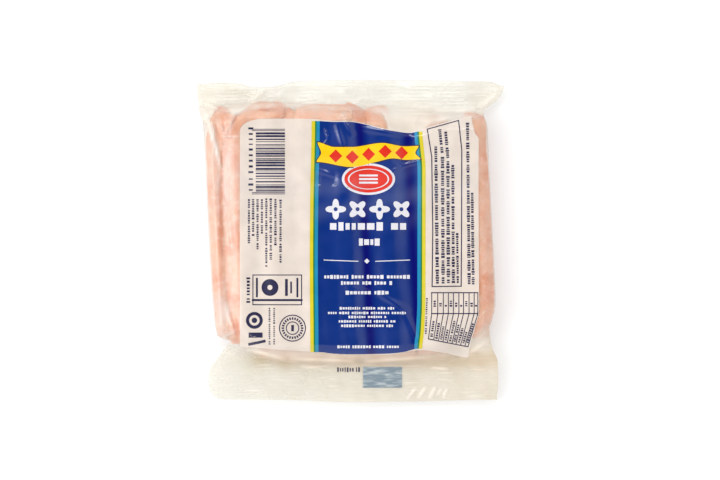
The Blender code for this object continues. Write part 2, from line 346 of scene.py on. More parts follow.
BLUE_UPPER = (
    (-15.4, 56.9), (-7.4, 56.5), (-0.2, 56.5), (6.9, 55.3), (14.0, 53.4), (21.1, 52.0), (28.3, 51.2),
    (32.3, 51.9),
)
RIBBON_UPPER = ((-16.1, 46.9), (-7.4, 44.6), (0.5, 44.6), (15.0, 46.5), (25.9, 44.9), (33.0, 45.2))
RIBBON_LOWER = ((-16.1, 37.5), (0.5, 35.1), (12.1, 37.5), (20.2, 39.2), (26.4, 38.5), (33.2, 38.8))
RIBBON_LEFT = ((37.5, -16.1), (41.8, -14.0), (46.9, -15.6))
RIBBON_RIGHT = ((38.8, 33.2), (41.8, 30.8), (45.2, 32.3))
RIBBON_OUTLINE = 0.5
GREY_MARK = ((5.9, -69.8), (24.5, -59.9))
GREY_MARK_STEP = 0.3

# Stripes beside the blue panel: distance from its edge to each one's near and far side.
STRIPES = (("cyan", 0.0, 1.5), ("green", 1.5, 2.25), ("lemon", 2.25, 3.85))

# Rows of blocks: the shares of length and height that a block may have, how many stand together (from the
# first number to the one below the second), and the length in blocks past which a row has such groups.
BLOCK_LENGTHS = (0.65, 1.3)
BLOCK_HEIGHTS = (0.78, 0.78, 1.0)
BLOCK_GROUPS = (3, 9)
LONG_ROW = 12

# Rows of plain white blocks on the blue: (x0, y0, x1, y1, height, block length, gap).
WHITE_ROWS = (
    (-10.7, 6.95, 27.3, 6.95, 4.0, 2.9, 0.95),
    (3.8, -0.5, 14.0, -0.5, 3.4, 1.9, 0.6),
    (-12.7, -17.0, 28.3, -17.0, 1.8, 1.2, 0.4),
    (-5.0, -19.9, 20.2, -19.9, 1.8, 1.2, 0.4),
    (-3.1, -24.5, 18.8, -24.5, 1.9, 1.3, 0.4),
    (-5.5, -31.9, 21.1, -31.9, 1.3, 0.85, 0.35),
    (-10.9, -34.1, 26.4, -34.1, 1.3, 0.85, 0.35),
    (-1.4, -36.0, 17.3, -36.0, 1.2, 0.85, 0.35),
    (-5.9, -38.1, 21.6, -38.1, 1.3, 0.85, 0.35),
    (-4.5, -40.2, 20.2, -40.2, 1.3, 0.85, 0.35),
    (-6.4, -50.1, 23.0, -50.1, 1.3, 0.9, 0.35),
)

# The same in dark ink on the white band, most of them running down it, and the first of their seeds.
DARK_SEED = 100
DARK_ROWS = (
    (-47.3, 55.2, -47.3, 22.6, 2.4, 0.8, 1.75),
    (-48.2, 20.4, -48.2, -1.5, 1.2, 0.72, 0.36),
    (-46.2, 20.4, -46.2, 1.9, 1.2, 0.72, 0.36),
    (-44.1, 20.4, -44.1, -4.5, 1.2, 0.72, 0.36),
    (-42.0, 20.4, -42.0, 3.0, 1.2, 0.72, 0.36),
    (-39.9, 20.4, -39.9, -12.3, 1.2, 0.72, 0.36),
    (-37.8, 20.4, -37.8, -9.0, 1.2, 0.72, 0.36),
    (-35.6, 20.4, -35.6, -2.5, 1.2, 0.72, 0.36),
    (-33.2, 20.4, -33.2, -11.0, 1.2, 0.72, 0.36),
    (-48.5, -17.1, -48.5, -29.4, 1.8, 0.9, 0.6),
    (-38.4, -31.3, -38.4, -49.4, 0.9, 0.6, 0.4),
    (-36.2, -31.3, -36.2, -49.4, 0.9, 0.6, 0.4),
    (40.4, 45.1, 41.2, -20.4, 1.7, 0.85, 0.3),
    (42.2, 53.5, 43.5, 41.3, 1.7, 0.85, 0.3),
    (43.6, 40.2, 43.9, -20.4, 1.7, 0.85, 0.3),
    (45.1, 52.0, 46.2, 39.3, 1.7, 0.85, 0.3),
    (46.2, 38.4, 46.4, -20.4, 1.7, 0.85, 0.3),
    (48.5, 36.6, 48.8, -20.4, 1.6, 0.85, 0.3),
    (50.6, 4.3, 50.9, -20.4, 1.2, 0.8, 0.3),
    (55.5, 56.6, 56.3, -20.9, 1.6, 0.8, 0.3),
    (57.7, 23.3, 58.2, -20.9, 1.5, 0.8, 0.3),
    (36.3, -26.6, 35.7, -44.5, 0.9, 0.6, 0.4),
    (-6.9, -61.2, 5.0, -61.2, 2.2, 0.6, 0.6),
)

# Dark lines on the white band: a tall frame, the table's lines across it and the places of its columns as
# shares of them, the height, length and gap of the blocks above and under its divider with their first
# seeds, and the width of all the lines.
TALL_FRAME = (
    (36.4, 53.0), (51.3, 57.2), (52.8, 43.2), (52.7, 5.2), (52.5, -21.4), (38.7, -21.6), (39.0, 5.2),
    (38.5, 39.9), (36.4, 53.0),
)
TABLE_TOP = ((38.5, -24.5), (60.4, -24.5))
TABLE_DIVIDER = ((38.5, -34.4), (60.4, -34.4))
TABLE_FOOT = ((37.0, -46.4), (55.8, -50.2))
TABLE_COLUMNS = (0.0, 0.13, 0.25, 0.36, 0.47, 0.59, 0.69, 0.81, 0.92, 1.0)
TABLE_UPPER_BLOCKS = (1.3, 0.7, 0.4)
TABLE_LOWER_BLOCKS = (1.2, 0.7, 0.35)
TABLE_SEEDS = (300, 320)
LINE_WIDTH = 0.5

# Plain marks on the white band: strokes as points and width, rings as centre, half sizes, inner share, cells
# and rings of cells, blocks as centres, direction, lengths and heights, and ticks round a stamp.
MARK_STROKES = (
    (((-46.3, -16.1), (-23.2, -16.1), (-23.2, -30.2), (-46.3, -30.2), (-46.3, -16.1)), 0.45),
    (((-46.3, -28.0), (-23.2, -28.0)), 1.0),
    (((-44.4, -17.9), (-44.4, -26.2)), 0.9),
    (((-25.2, -17.9), (-25.2, -26.2)), 0.9),
)
STAMP_CENTRE = (-27.5, -41.3)
MARK_RINGS = (
    ((-38.2, -22.0), 4.0, 4.0, 0.3, 40, 7),
    ((-45.6, -37.6), 4.0, 4.0, 0.62, 40, 4),
    ((-45.6, -37.6), 1.3, 1.3, 0.05, 24, 4),
    (STAMP_CENTRE, 6.4, 6.4, 0.92, 48, 3),
    (STAMP_CENTRE, 3.2, 3.2, 0.86, 36, 3),
)
MARK_BLOCKS = (
    (((-30.4, -22.0), (-28.2, -22.0)), (0, 1), (8.0, 5.6), (1.3, 0.8)),
    (((-45.0, -44.6),), (1, 0), 6.6, 2.4),
    (((-44.4, -48.2),), (0.98, 0.2), 8.4, 1.3),
    ((STAMP_CENTRE,), (0, 1), 3.0, 1.3),
)
TICK_RADIUS = 4.6
TICK_TURN = 15
TICK_SIZE = (0.75, 1.2)

# The bars: their two ends in X, where they start in Y, the width of the narrowest, how many of that width
# they take up, how much further the long ones reach, and the seed of their draw.
BARS_LEFT = -44.9
BARS_RIGHT = -31.1
BARS_TOP = 53.2
BARS_MODULE = 0.33
BARS_MODULES = 95
BARS_GUARD_REACH = 1.9
BARS_SEED = 5

# Diamonds on the ribbon, as places in X and side. The oval's centre, the half sizes of its border, field and
# rim, the rise of the bars across it and their size. Rosettes, as places in X, level and radius, with the
# mean and the swing of their rim and the size of their open middle as shares of it.
DIAGONAL = (0.7071, 0.7071)
RIBBON_DIAMONDS = (-7.0, 0.8, 8.6, 16.4, 24.2)
DIAMOND_SIDE = 4.4
OVAL_CENTRE = (8.5, 29.4)
OVAL_BORDER = (12.6, 7.5)
OVAL_FIELD = (11.4, 6.4)
OVAL_RIM = (9.8, 4.9)
OVAL_BARS = (-1.7, 0, 1.7)
OVAL_BAR_SIZE = (9.0, 0.9)
ROSETTES = (-7.0, 3.3, 13.8, 24.1)
ROSETTE_LEVEL = 15.1
ROSETTE_RADIUS = 4.9
PETAL_MEAN = 0.74
PETAL_SWING = 0.26
ROSETTE_MIDDLE = 0.2

# The thin rule on the blue: its two strokes, their width, and the diamond between, as centre and side.
RULE = (((-12.5, -9.0), (3.5, -9.6)), ((12.0, -9.6), (28.0, -9.0)))
RULE_WIDTH = 0.4
RULE_DIAMOND = (7.75, -9.5)
RULE_DIAMOND_SIDE = 1.8

# Boundaries of the row in whose valleys the ink is painted deeper as shade, and the reach of each across the
# row.
SHADED_VALLEYS = (5, 6)
SHADED_VALLEY_REACH = 2.4

# Haze over the print, a painted reflection of the film's pale veil: the level and reach of its bell along Y,
# and where that of the near end begins.
PRINT_HAZE_LEVEL = 24
PRINT_HAZE_REACH = 13
PRINT_HAZE_NEAR_END = -38

# Grid steps of panels and marks, rounds in which a panel's grid is fitted, the lift of the lowest ink off
# the film, and that of each layer over the last.
PRINT_STEP = 0.55
MARK_STEP = 0.8
PANEL_ROUNDS = 3
FILM_LIFT = 0.09
LIFT_STEP = 0.05

# Fin seal on the back, folded flat: its sides in X, its ends in Y, its thickness, its gap to the film, and
# the height and pitch of its ripples.
FIN_SIDES = (0.8, 11.2)
FIN_ENDS = (-57.0, 61.5)
FIN_THICKNESS = 0.16
FIN_GAP = 0.04
FIN_RIPPLE = 0.03
FIN_RIPPLE_PITCH = 1.6

# Stage: the photograph's frame and the point of the pack under its middle.
PICTURE_WIDTH = 342.0
PICTURE_CENTRE = (4.5, 0.5)
FOCUS_HEIGHT = 12.0
CAMERA_DISTANCE = 3000.0
SENSOR_WIDTH = 36.0
FLOOR_HALF = 1500.0
LAMPS = (
    ("left_softbox", (-1.15, 0.12, 1.15), (1.3, 0.9), "left_light"),
    ("left_spark", (-1.3, -0.24, 1.15), (0.8, 0.35), "spark_light"),
    ("far_strip", (-0.25, 0.8, 1.45), (1.1, 0.16), "far_light"),
)


def hex_colour(code):
    """Linear RGBA of an sRGB hex colour."""
    parts = np.array([int(code[i : i + 2], 16) for i in (1, 3, 5)]) / 255
    linear = np.where(parts <= 0.04045, parts / 12.92, ((parts + 0.055) / 1.055) ** 2.4)
    return (*linear.tolist(), 1.0)


def through(points, place):
    """Smooth curve through (place, height) points at each place: cubic pieces whose slope at a point is
    the harmonic mean of the slopes beside it, or nothing at a turn and at both ends."""
    knots, heights = np.array(points, float).T
    widths = np.diff(knots)
    slopes = np.diff(heights) / widths
    product = slopes[:-1] * slopes[1:]
    total = slopes[:-1] + slopes[1:]
    inner = np.where(product > 0, 2 * product / np.where(total == 0, 1, total), 0)
    tangents = np.concatenate(([0.0], inner, [0.0]))
    place = np.clip(place, knots[0], knots[-1])
    index = np.clip(np.searchsorted(knots, place, side="right") - 1, 0, len(knots) - 2)
    part = (place - knots[index]) / widths[index]
    start = (1 + 2 * part) * (1 - part) ** 2 * heights[index]
    end = part**2 * (3 - 2 * part) * heights[index + 1]
    leave = part * (1 - part) ** 2 * widths[index] * tangents[index]
    arrive = part**2 * (part - 1) * widths[index] * tangents[index + 1]
    return start + end + leave + arrive


def waves(x, y, size, seed):
    """Smooth random relief between about -1 and 1: sine waves of about the given length, each in its own
    seeded direction and phase, added and scaled."""
    rng = np.random.default_rng(seed)
    total = np.zeros(np.broadcast(x, y).shape)
    for _ in range(WAVE_COUNT):
        turn, phase = rng.uniform(0, 2 * math.pi), rng.uniform(0, 2 * math.pi)
        stretch = rng.uniform(0.7, 1.5)
        total += np.sin(2 * math.pi * (x * math.cos(turn) + y * math.sin(turn)) / (size * stretch) + phase)
    return total / (WAVE_COUNT / 2)


def seal_share(reach, start):
    """How far a place lies across a seal: 0 at its root, 1 at its lip."""
    return np.clip((reach - start) / (HALF_LENGTH - start), 0, 1)


def fullness(x, y):
    """How full the pack is: 0 on the seals, rising as the sine of a quarter turn to 1 over the meat."""
    up = (y - through(BOTTOM_ROOT, x)) / (through(BOTTOM_SHOULDER, x) - through(BOTTOM_ROOT, x))
    down = (through(TOP_ROOT, x) - y) / (through(TOP_ROOT, x) - through(TOP_SHOULDER, x))
    rise = np.clip(np.minimum(up, down), 0, 1)
    return np.sin(0.5 * math.pi * rise**ROOT_SOFTNESS)


def row_place(x, y):
    """Place across the row, and that place's index and share (-1 to 1) between sausage boundaries."""
    limits = np.array(BOUNDARIES)
    place = np.clip(x - ROW_LEAN * (y - ROW_MIDDLE), limits[0], limits[-1])
    index = np.clip(np.searchsorted(limits, place, side="right") - 1, 0, len(CROWNS) - 1)
    share = 2 * (place - limits[index]) / (limits[index + 1] - limits[index]) - 1
    return place, index, share


def crown_height(x, y):
    """Height of the film over the row: a crown over each sausage, and a cosine dip to each boundary."""
    place, index, share = row_place(x, y)
    depths = np.array(VALLEYS)
    depth = np.where(share < 0, depths[index], depths[index + 1])
    centres = [(a + b) / 2 for a, b in zip(BOUNDARIES, BOUNDARIES[1:])]
    crown = through(list(zip(centres, CROWNS)), place)
    return crown - depth * (1 - np.cos(math.pi * share)) / 2


def fold_height(x, y):
    """Height of the folds: each a ridge with a bell section along a line, fading at the line's ends."""
    total = np.zeros(np.broadcast(x, y).shape)
    for (x0, y0), (x1, y1), height, (start, end) in FOLDS:
        length = math.hypot(x1 - x0, y1 - y0)
        along = ((x - x0) * (x1 - x0) + (y - y0) * (y1 - y0)) / length**2
        across = ((x - x0) * (y1 - y0) - (y - y0) * (x1 - x0)) / length
        inside = np.clip(along, 0, 1)
        width = start + (end - start) * inside
        total += height * np.exp(-((across / width) ** 2)) * np.sin(math.pi * inside) ** 0.6
    return total


def facet_shares(x, y):
    """How far inside each facet a place lies: 0 outside, 1 from FACET_SOFTNESS within its sides."""
    shares = []
    for corners, _, _ in FACETS:
        inside = 1.0
        for (x0, y0), (x1, y1) in zip(corners, corners[1:] + corners[:1]):
            far = ((x - x0) * (y1 - y0) - (y - y0) * (x1 - x0)) / math.hypot(x1 - x0, y1 - y0)
            inside = inside * np.clip(-far / FACET_SOFTNESS, 0, 1)
        shares.append(inside)
    return shares


def cut_facets(x, y, height):
    """Height lowered to the plane of each facet where it is above it."""
    for (corners, level, (rise_x, rise_y)), inside in zip(FACETS, facet_shares(x, y)):
        plane = level + rise_x * (x - corners[0][0]) + rise_y * (y - corners[0][1])
        height = height - inside * np.maximum(height - plane, 0)
    return height


def spots(x, y, table):
    """Sum of soft round spots, each with a bell section along X and Y."""
    total = 0
    for (spot_x, spot_y), (reach_x, reach_y), amount in table:
        total = total + amount * np.exp(-(((x - spot_x) / reach_x) ** 2) - ((y - spot_y) / reach_y) ** 2)
    return total


def slackness(x, y):
    """How loose the film lies: 1 at its sides and on the shoulders, falling to LEAST_SLACK on the band."""
    left = np.exp(-(((x - through(LEFT_EDGE, y)) / LEFT_SLACK_REACH) ** 2))
    right = np.exp(-(((through(RIGHT_EDGE, y) - x) / RIGHT_SLACK_REACH) ** 2))
    ends = 1 - np.clip((fullness(x, y) - 0.5) * 2, 0, 1) ** 2
    return LEAST_SLACK + (1 - LEAST_SLACK) * np.clip(left + right + ends, 0, 1)


def crease_height(x, y):
    """Fine creases of loose film: ridges with a bell section along the zero lines of random relief, where
    a slower relief is high, scaled by how loose the film is, and lower on the flat seals."""
    total = 0
    for size, height, width, seed in CREASES:
        ridge = np.exp(-((waves(x, y, size, seed) / width) ** 2))
        total = total + height * ridge * np.clip(0.3 + waves(x, y, CREASE_PATCH * size, seed + 1), 0, 1)
    return total * slackness(x, y) * (CREASE_ON_SEALS + (1 - CREASE_ON_SEALS) * fullness(x, y))


def pleat_height(x, y):
    """Small pleats that run from each seal's root over the shoulder, and fade onto the sausages."""
    below = y - through(BOTTOM_ROOT, x)
    above = through(TOP_ROOT, x) - y
    near = sum(np.exp(-((inside / PLEAT_REACH) ** 2)) * (inside > 0) for inside in (below, above))
    rise = np.clip(np.minimum(below, above) / PLEAT_START, 0, 1)
    fine = sum(share * waves(x, stretch * y, size, seed) for share, stretch, size, seed in PLEAT_WAVES)
    return bpy.context.scene.sausage_pack.pleat_height / MM * near * rise * fine


def rib_height(x, y):
    """Crimped ribs across the seals: a sine of the distance from the middle, along Y, lower on the left.
    Random relief bends them a little and lets them come and go, and more of it buckles the seal."""
    settings = bpy.context.scene.sausage_pack
    inside = np.clip((through(BOTTOM_ROOT, x) - RIB_GAP - y) / RIB_START, 0, 1)
    inside += np.clip((y - through(TOP_ROOT, x) - RIB_GAP) / RIB_START, 0, 1)
    height, size, seed = RIB_BEND
    bend = height * waves(x, 0 * y, size, seed)
    calm = np.clip(0.75 + x / 120, 0.5, 1)
    patches = np.clip(0.45 + 0.75 * waves(x, 1.6 * y, 13.0, 32), 0.05, 1)
    strength = calm * patches * (1 + spots(x, y, RIB_SPOTS))
    turns = (y + bend) / (settings.rib_pitch / MM)
    height, size, seed = SEAL_BUCKLE
    buckle = height * calm * waves(0.8 * x, 1.3 * y, size, seed)
    return inside * (settings.rib_height / MM * strength * np.sin(2 * math.pi * turns) + buckle)


def seal_height(x, y):
    """Middle height of a seal: a droop from root to lip, a slow wave along it, and the ribs."""
    droop = seal_share(np.abs(y), BOTTOM_SEAL_START)
    shift = np.where(y > 0, SEAL_WAVE_SHIFT, 0.0)
    wave = SEAL_WAVE_HEIGHT * np.sin(2 * math.pi * (x + shift) / SEAL_WAVE_LENGTH)
    return SEAL_ROOT_HEIGHT + (SEAL_LIP_HEIGHT - SEAL_ROOT_HEIGHT) * droop + wave * droop + rib_height(x, y)


def side_turn(x, y):
    """Cosine of the turn round a side of the pack: 1 on the flat, 0 at the outermost edge."""
    rounding = through(SIDE_ROUNDING, y)
    past_left = (through(LEFT_EDGE, y) + rounding - x) / rounding
    past_right = (x - through(RIGHT_EDGE, y) + rounding) / rounding
    return np.sqrt(1 - np.clip(np.maximum(past_left, past_right), 0, 1) ** 2)


def film_height(x, y, face):
    """Height of the film: face 1 on top, -1 underneath. Seal and body heights are mixed by fullness, and
    the sides close in an ellipse on the middle height."""
    full = fullness(x, y)
    seal = seal_height(x, y)
    middle = seal * (1 - full) + SIDE_MID_HEIGHT * full
    if face > 0:
        folds = fold_height(x, y) + crease_height(x, y)
        relief, size, seed = BODY_RELIEF
        body = crown_height(x, y) + pleat_height(x, y) + relief * waves(x, y, size, seed) - BODY_DROP
        skin = (seal + SEAL_THICKNESS / 2) * (1 - full) + body * full + folds
    else:
        share = row_place(x, y)[2]
        lift = bpy.context.scene.sausage_pack.underside_lift / MM
        body = lift + HALF_GROOVE * (1 - np.cos(math.pi * share))
        skin = (seal - SEAL_THICKNESS / 2) * (1 - full) + body * full
    height = middle + (skin - middle) * side_turn(x, y)
    return cut_facets(x, y, height) if face > 0 else height


def on_film(plan, lift):
    """Points on the printed face at plan places (..., 2), lifted along the film's own normal, which
    comes from the differences of its height a tenth of a millimetre to each side."""
    x, y = plan[..., 0], plan[..., 1]
    step = 0.1
    height = film_height(x, y, 1)
    slope_x = (film_height(x + step, y, 1) - film_height(x - step, y, 1)) / (2 * step)
    slope_y = (film_height(x, y + step, 1) - film_height(x, y - step, 1)) / (2 * step)
    normal = np.stack((-slope_x, -slope_y, np.ones_like(height)), -1)
    normal /= np.linalg.norm(normal, axis=-1, keepdims=True)
    return np.stack((x, y, height), -1) + lift * normal


def grid_faces(index):
    """Quads of a grid of vertex numbers (..., rows, columns), facing up when X runs along the columns
    and Y up the rows."""
    corners = (index[..., :-1, :-1], index[..., :-1, 1:], index[..., 1:, 1:], index[..., 1:, :-1])
    return np.stack(corners, -1).reshape(-1, 4)


def make_mesh(name, points, face_groups, material, attributes=None):
    """A smooth mesh object from points in millimetres and arrays of faces with 3 to 5 corners."""
    mesh = bpy.data.meshes.new(name)
    points = np.asarray(points, float).reshape(-1, 3) * MM
    face_groups = [np.asarray(faces) for faces in face_groups if len(faces)]
    totals = np.concatenate([np.full(len(faces), faces.shape[1]) for faces in face_groups])
    loops = np.concatenate([faces.ravel() for faces in face_groups])
    mesh.vertices.add(len(points))
    mesh.vertices.foreach_set("co", points.ravel().astype(np.float32))
    mesh.loops.add(len(loops))
    mesh.loops.foreach_set("vertex_index", loops.astype(np.int32))
    mesh.polygons.add(len(totals))
    starts = np.concatenate(([0], np.cumsum(totals)[:-1]))
    mesh.polygons.foreach_set("loop_start", starts.astype(np.int32))
    mesh.polygons.foreach_set("loop_total", totals.astype(np.int32))
    mesh.polygons.foreach_set("use_smooth", np.ones(len(totals), bool))
    for label, values in (attributes or {}).items():
        layer = mesh.attributes.new(label, "FLOAT", "POINT")
        layer.data.foreach_set("value", np.asarray(values, np.float32).ravel())
    mesh.update(calc_edges=True)
    mesh.validate()
    mesh.materials.append(material)
    piece = bpy.data.objects.new(name, mesh)
    bpy.context.scene.collection.objects.link(piece)
    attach(piece, BODY)
    return piece


def mesh_of_grids(name, grids, material):
    """One mesh from many separate grids of points, each (..., rows, columns, 3)."""
    points = []
    faces = []
    count = 0
    for grid in grids:
        size = grid.size // 3
        index = np.arange(size).reshape(grid.shape[:-1]) + count
        points.append(grid.reshape(-1, 3))
        faces.append(grid_faces(index))
        count += size
    points = np.concatenate(points)
    return make_mesh(name, points, faces, material, print_looks(points[:, 0], points[:, 1]))


def print_looks(x, y):
    """Two looks of the print, as shares: painted shade in the two valleys beside the sixth sausage, a bell
    across each, and a painted reflection of the film, a pale veil in patches: most in a bell along Y, a
    little at the near end."""
    place = row_place(x, y)[0]
    valley = sum(np.exp(-(((place - BOUNDARIES[index]) / SHADED_VALLEY_REACH) ** 2)) for index in SHADED_VALLEYS)
    near_end = np.clip((PRINT_HAZE_NEAR_END - y) / 6, 0, 1)
    hazy = np.exp(-(((y - PRINT_HAZE_LEVEL) / PRINT_HAZE_REACH) ** 2)) + 0.1 * near_end
    return {"valley": valley, "haze": np.clip(hazy * (1 + 0.7 * waves(x, y, 13.0, 98)), 0, 2)}


def film_plan():
    """Plan places (rows, columns, 2) of the film's grid. Across the pack they are even, and at the sides
    they follow the sine of the turn round them. The last rows follow the lips."""
    rows = [np.linspace(a, b, cells, endpoint=False) for (a, cells), (b, _) in zip(ROW_KNOTS, ROW_KNOTS[1:])]
    along = np.concatenate(rows + [[HALF_LENGTH]])[:, None]
    side = SIDE_CELLS / (SIDE_CELLS + ACROSS_CELLS / 2)
    across = np.linspace(-1, 1, ACROSS_CELLS + 2 * SIDE_CELLS + 1)
    turn = np.clip((np.abs(across) - (1 - side)) / side, 0, 1) * 0.5 * math.pi
    flat = np.clip(across / (1 - side), -1, 1)
    left = through(LEFT_EDGE, along)
    right = through(RIGHT_EDGE, along)
    rounding = through(SIDE_ROUNDING, along)
    x = left + rounding + (right - left - 2 * rounding) * (flat + 1) / 2
    x = x + np.sign(across) * rounding * np.sin(turn)
    y = along + (HALF_LENGTH + through(BOTTOM_LIP, x)) * seal_share(-along, BOTTOM_SEAL_START)
    y = y - (HALF_LENGTH - through(TOP_LIP, x)) * seal_share(along, TOP_SEAL_START)
    return np.stack((x, y), -1)


def film_milk(x, y):
    """How milky the film is: a little over the meat in patches, more past the lines where it leaves the meat,
    most on the seals and more towards their near right corner as painted shade, with painted highlights in
    fine streaks along their ribs, and whitened along folds, partly the film's own whitening and partly
    painted glints, and on facets as a painted highlight."""
    settings = bpy.context.scene.sausage_pack
    far = (y - through(TOP_CLEAR, x)) / TOP_CLEAR_LENGTH + 0.2 * waves(x, y, 7.0, 90)
    near = (through(BOTTOM_CLEAR, x) - y) / BOTTOM_CLEAR_LENGTH
    loose = np.clip(np.maximum(far, near) + 0.5, 0, 1)
    sealed = np.clip(2 * (1 - fullness(x, y)) - 1, 0, 1)
    corners = SEAL_MILK + spots(x, y, SEAL_MILK_SPOTS)
    # Painted shade: more milk towards the near right corner greys the seal there.
    corners += NEAR_RIGHT_MILK_SHADE * np.clip(0.5 - y / PACK_SPAN, 0, 1) * np.clip(0.5 + x / PACK_SPAN, 0, 1)
    patches = 1 + 0.12 * waves(x, y, 21.0, 91) + 0.08 * waves(x, 1.4 * y, 8.0, 92)
    # Painted highlights: fine bright streaks along the ribs.
    rib_glint_dashes = np.clip(waves(0.05 * x, y, 1.3, 94) - 0.25, 0, 1) * np.clip(0.2 + waves(x, y, 12.0, 96), 0, 1)
    seal = settings.seal_haze * corners * patches + 0.3 * rib_glint_dashes
    meat = settings.film_haze * np.clip(0.4 + slackness(x, y) + 0.9 * waves(x, y, 8.0, 93), 0, 2)
    shoulder = settings.shoulder_haze * patches * (0.5 + 0.5 * side_turn(x, y))
    mixed = meat + (shoulder - meat) * loose
    # Folds whiten, partly the film's own whitening and partly painted glints; facets add a painted highlight.
    folded = np.clip(fold_height(x, y) / SHARP_FOLD, 0, 1)
    white = folded * (FOLD_WHITE_AND_GLINT + LOOSE_FOLD_WHITE_AND_GLINT * (loose + sealed))
    white = white + FACET_HIGHLIGHT * sum(facet_shares(x, y)) + spots(x, y, HAZE_SPOTS)
    white = white * side_turn(x, y)
    return np.clip(mixed + (seal - mixed) * sealed + white, 0, 1)


def film_warmth_and_shade(x, y):
    """How warm and dark the film's tint is: a little on the far seal and more in its left corner and beside
    the print's dip; painted shade over the meat at the right side, and on the near seal, growing towards its
    root and its right end."""
    loose = np.clip((through(BOTTOM_CLEAR, x) - y) / 4.0 + 0.5, 0, 1)
    far_seal = FAR_WARMTH + spots(x, y, WARM_SPOTS)
    # Painted shade: the film darkens over the meat at the right side and towards the near seal's root.
    amount, place, reach = RIGHT_SHADE
    right_shade = amount * np.clip((x - place) / reach, 0, 1)
    amount, place, reach = ROOT_SHADE
    root = amount * np.exp(-(((y - place) / reach) ** 2)) * np.clip((x + 56) / 14, 0.1, 1)
    near_seal = NEAR_WARMTH + SHADE_PER_MM * (x + 60) + root
    tone = np.where(y > 0, far_seal * np.clip((y - 40) / 12, 0, 1), near_seal * loose)
    tone = tone + right_shade * (1 - loose)
    return np.clip(tone * (1 + 0.15 * waves(x, y, 15.0, 97)), 0, 1)


def film_tautness(x, y):
    """Where the film is drawn tight and smooth: on its facets and along its folds."""
    return np.clip(sum(facet_shares(x, y)) + fold_height(x, y) / SHARP_FOLD, 0, 1)


def build_film():
    """The bag: its printed face, its underside on a grid half as fine, and a narrow wall along each lip.
    The two faces share the points of both sides, and five-cornered faces join them there."""
    x, y = np.moveaxis(film_plan(), -1, 0)
    top = np.stack((x, y, film_height(x, y, 1)), -1)
    x_low, y_low = x[::2, 1:-1][:, 1::2], y[::2, 1:-1][:, 1::2]
    low = np.stack((x_low, y_low, film_height(x_low, y_low, -1)), -1)
    points = np.concatenate((top.reshape(-1, 3), low.reshape(-1, 3)))
    looks = {"milk": film_milk, "tone": film_warmth_and_shade, "tautness": film_tautness}
    looks = {label: look(points[:, 0], points[:, 1]) for label, look in looks.items()}

    rows, columns = x.shape
    above = np.arange(rows * columns).reshape(rows, columns)
    inner = np.arange(low.size // 3).reshape(low.shape[:2]) + rows * columns
    under = np.concatenate((above[::2, :1], inner, above[::2, -1:]), 1)
    odd = above[1::2]
    left = np.stack((under[1:, 0], under[1:, 1], under[:-1, 1], under[:-1, 0], odd[:, 0]), -1)
    right = np.stack((under[1:, -2], under[1:, -1], odd[:, -1], under[:-1, -1], under[:-1, -2]), -1)
    faces = [grid_faces(above), grid_faces(under[:, 1:-1])[:, ::-1], left, right]
    for lip, edge, turned in ((above[0], under[0], 1), (above[-1], under[-1], -1)):
        wall = np.stack((edge[:-1], edge[1:], lip[2::2], lip[1::2], lip[:-1:2]), -1)
        faces.append(wall[1:-1, ::turned])
        faces.append(wall[:1, 1:][:, ::turned])
        faces.append(wall[-1:, [0, 2, 3, 4]][:, ::turned])
    film = make_mesh("film", points, faces, clear_film_material(), looks)
    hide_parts(NODE)


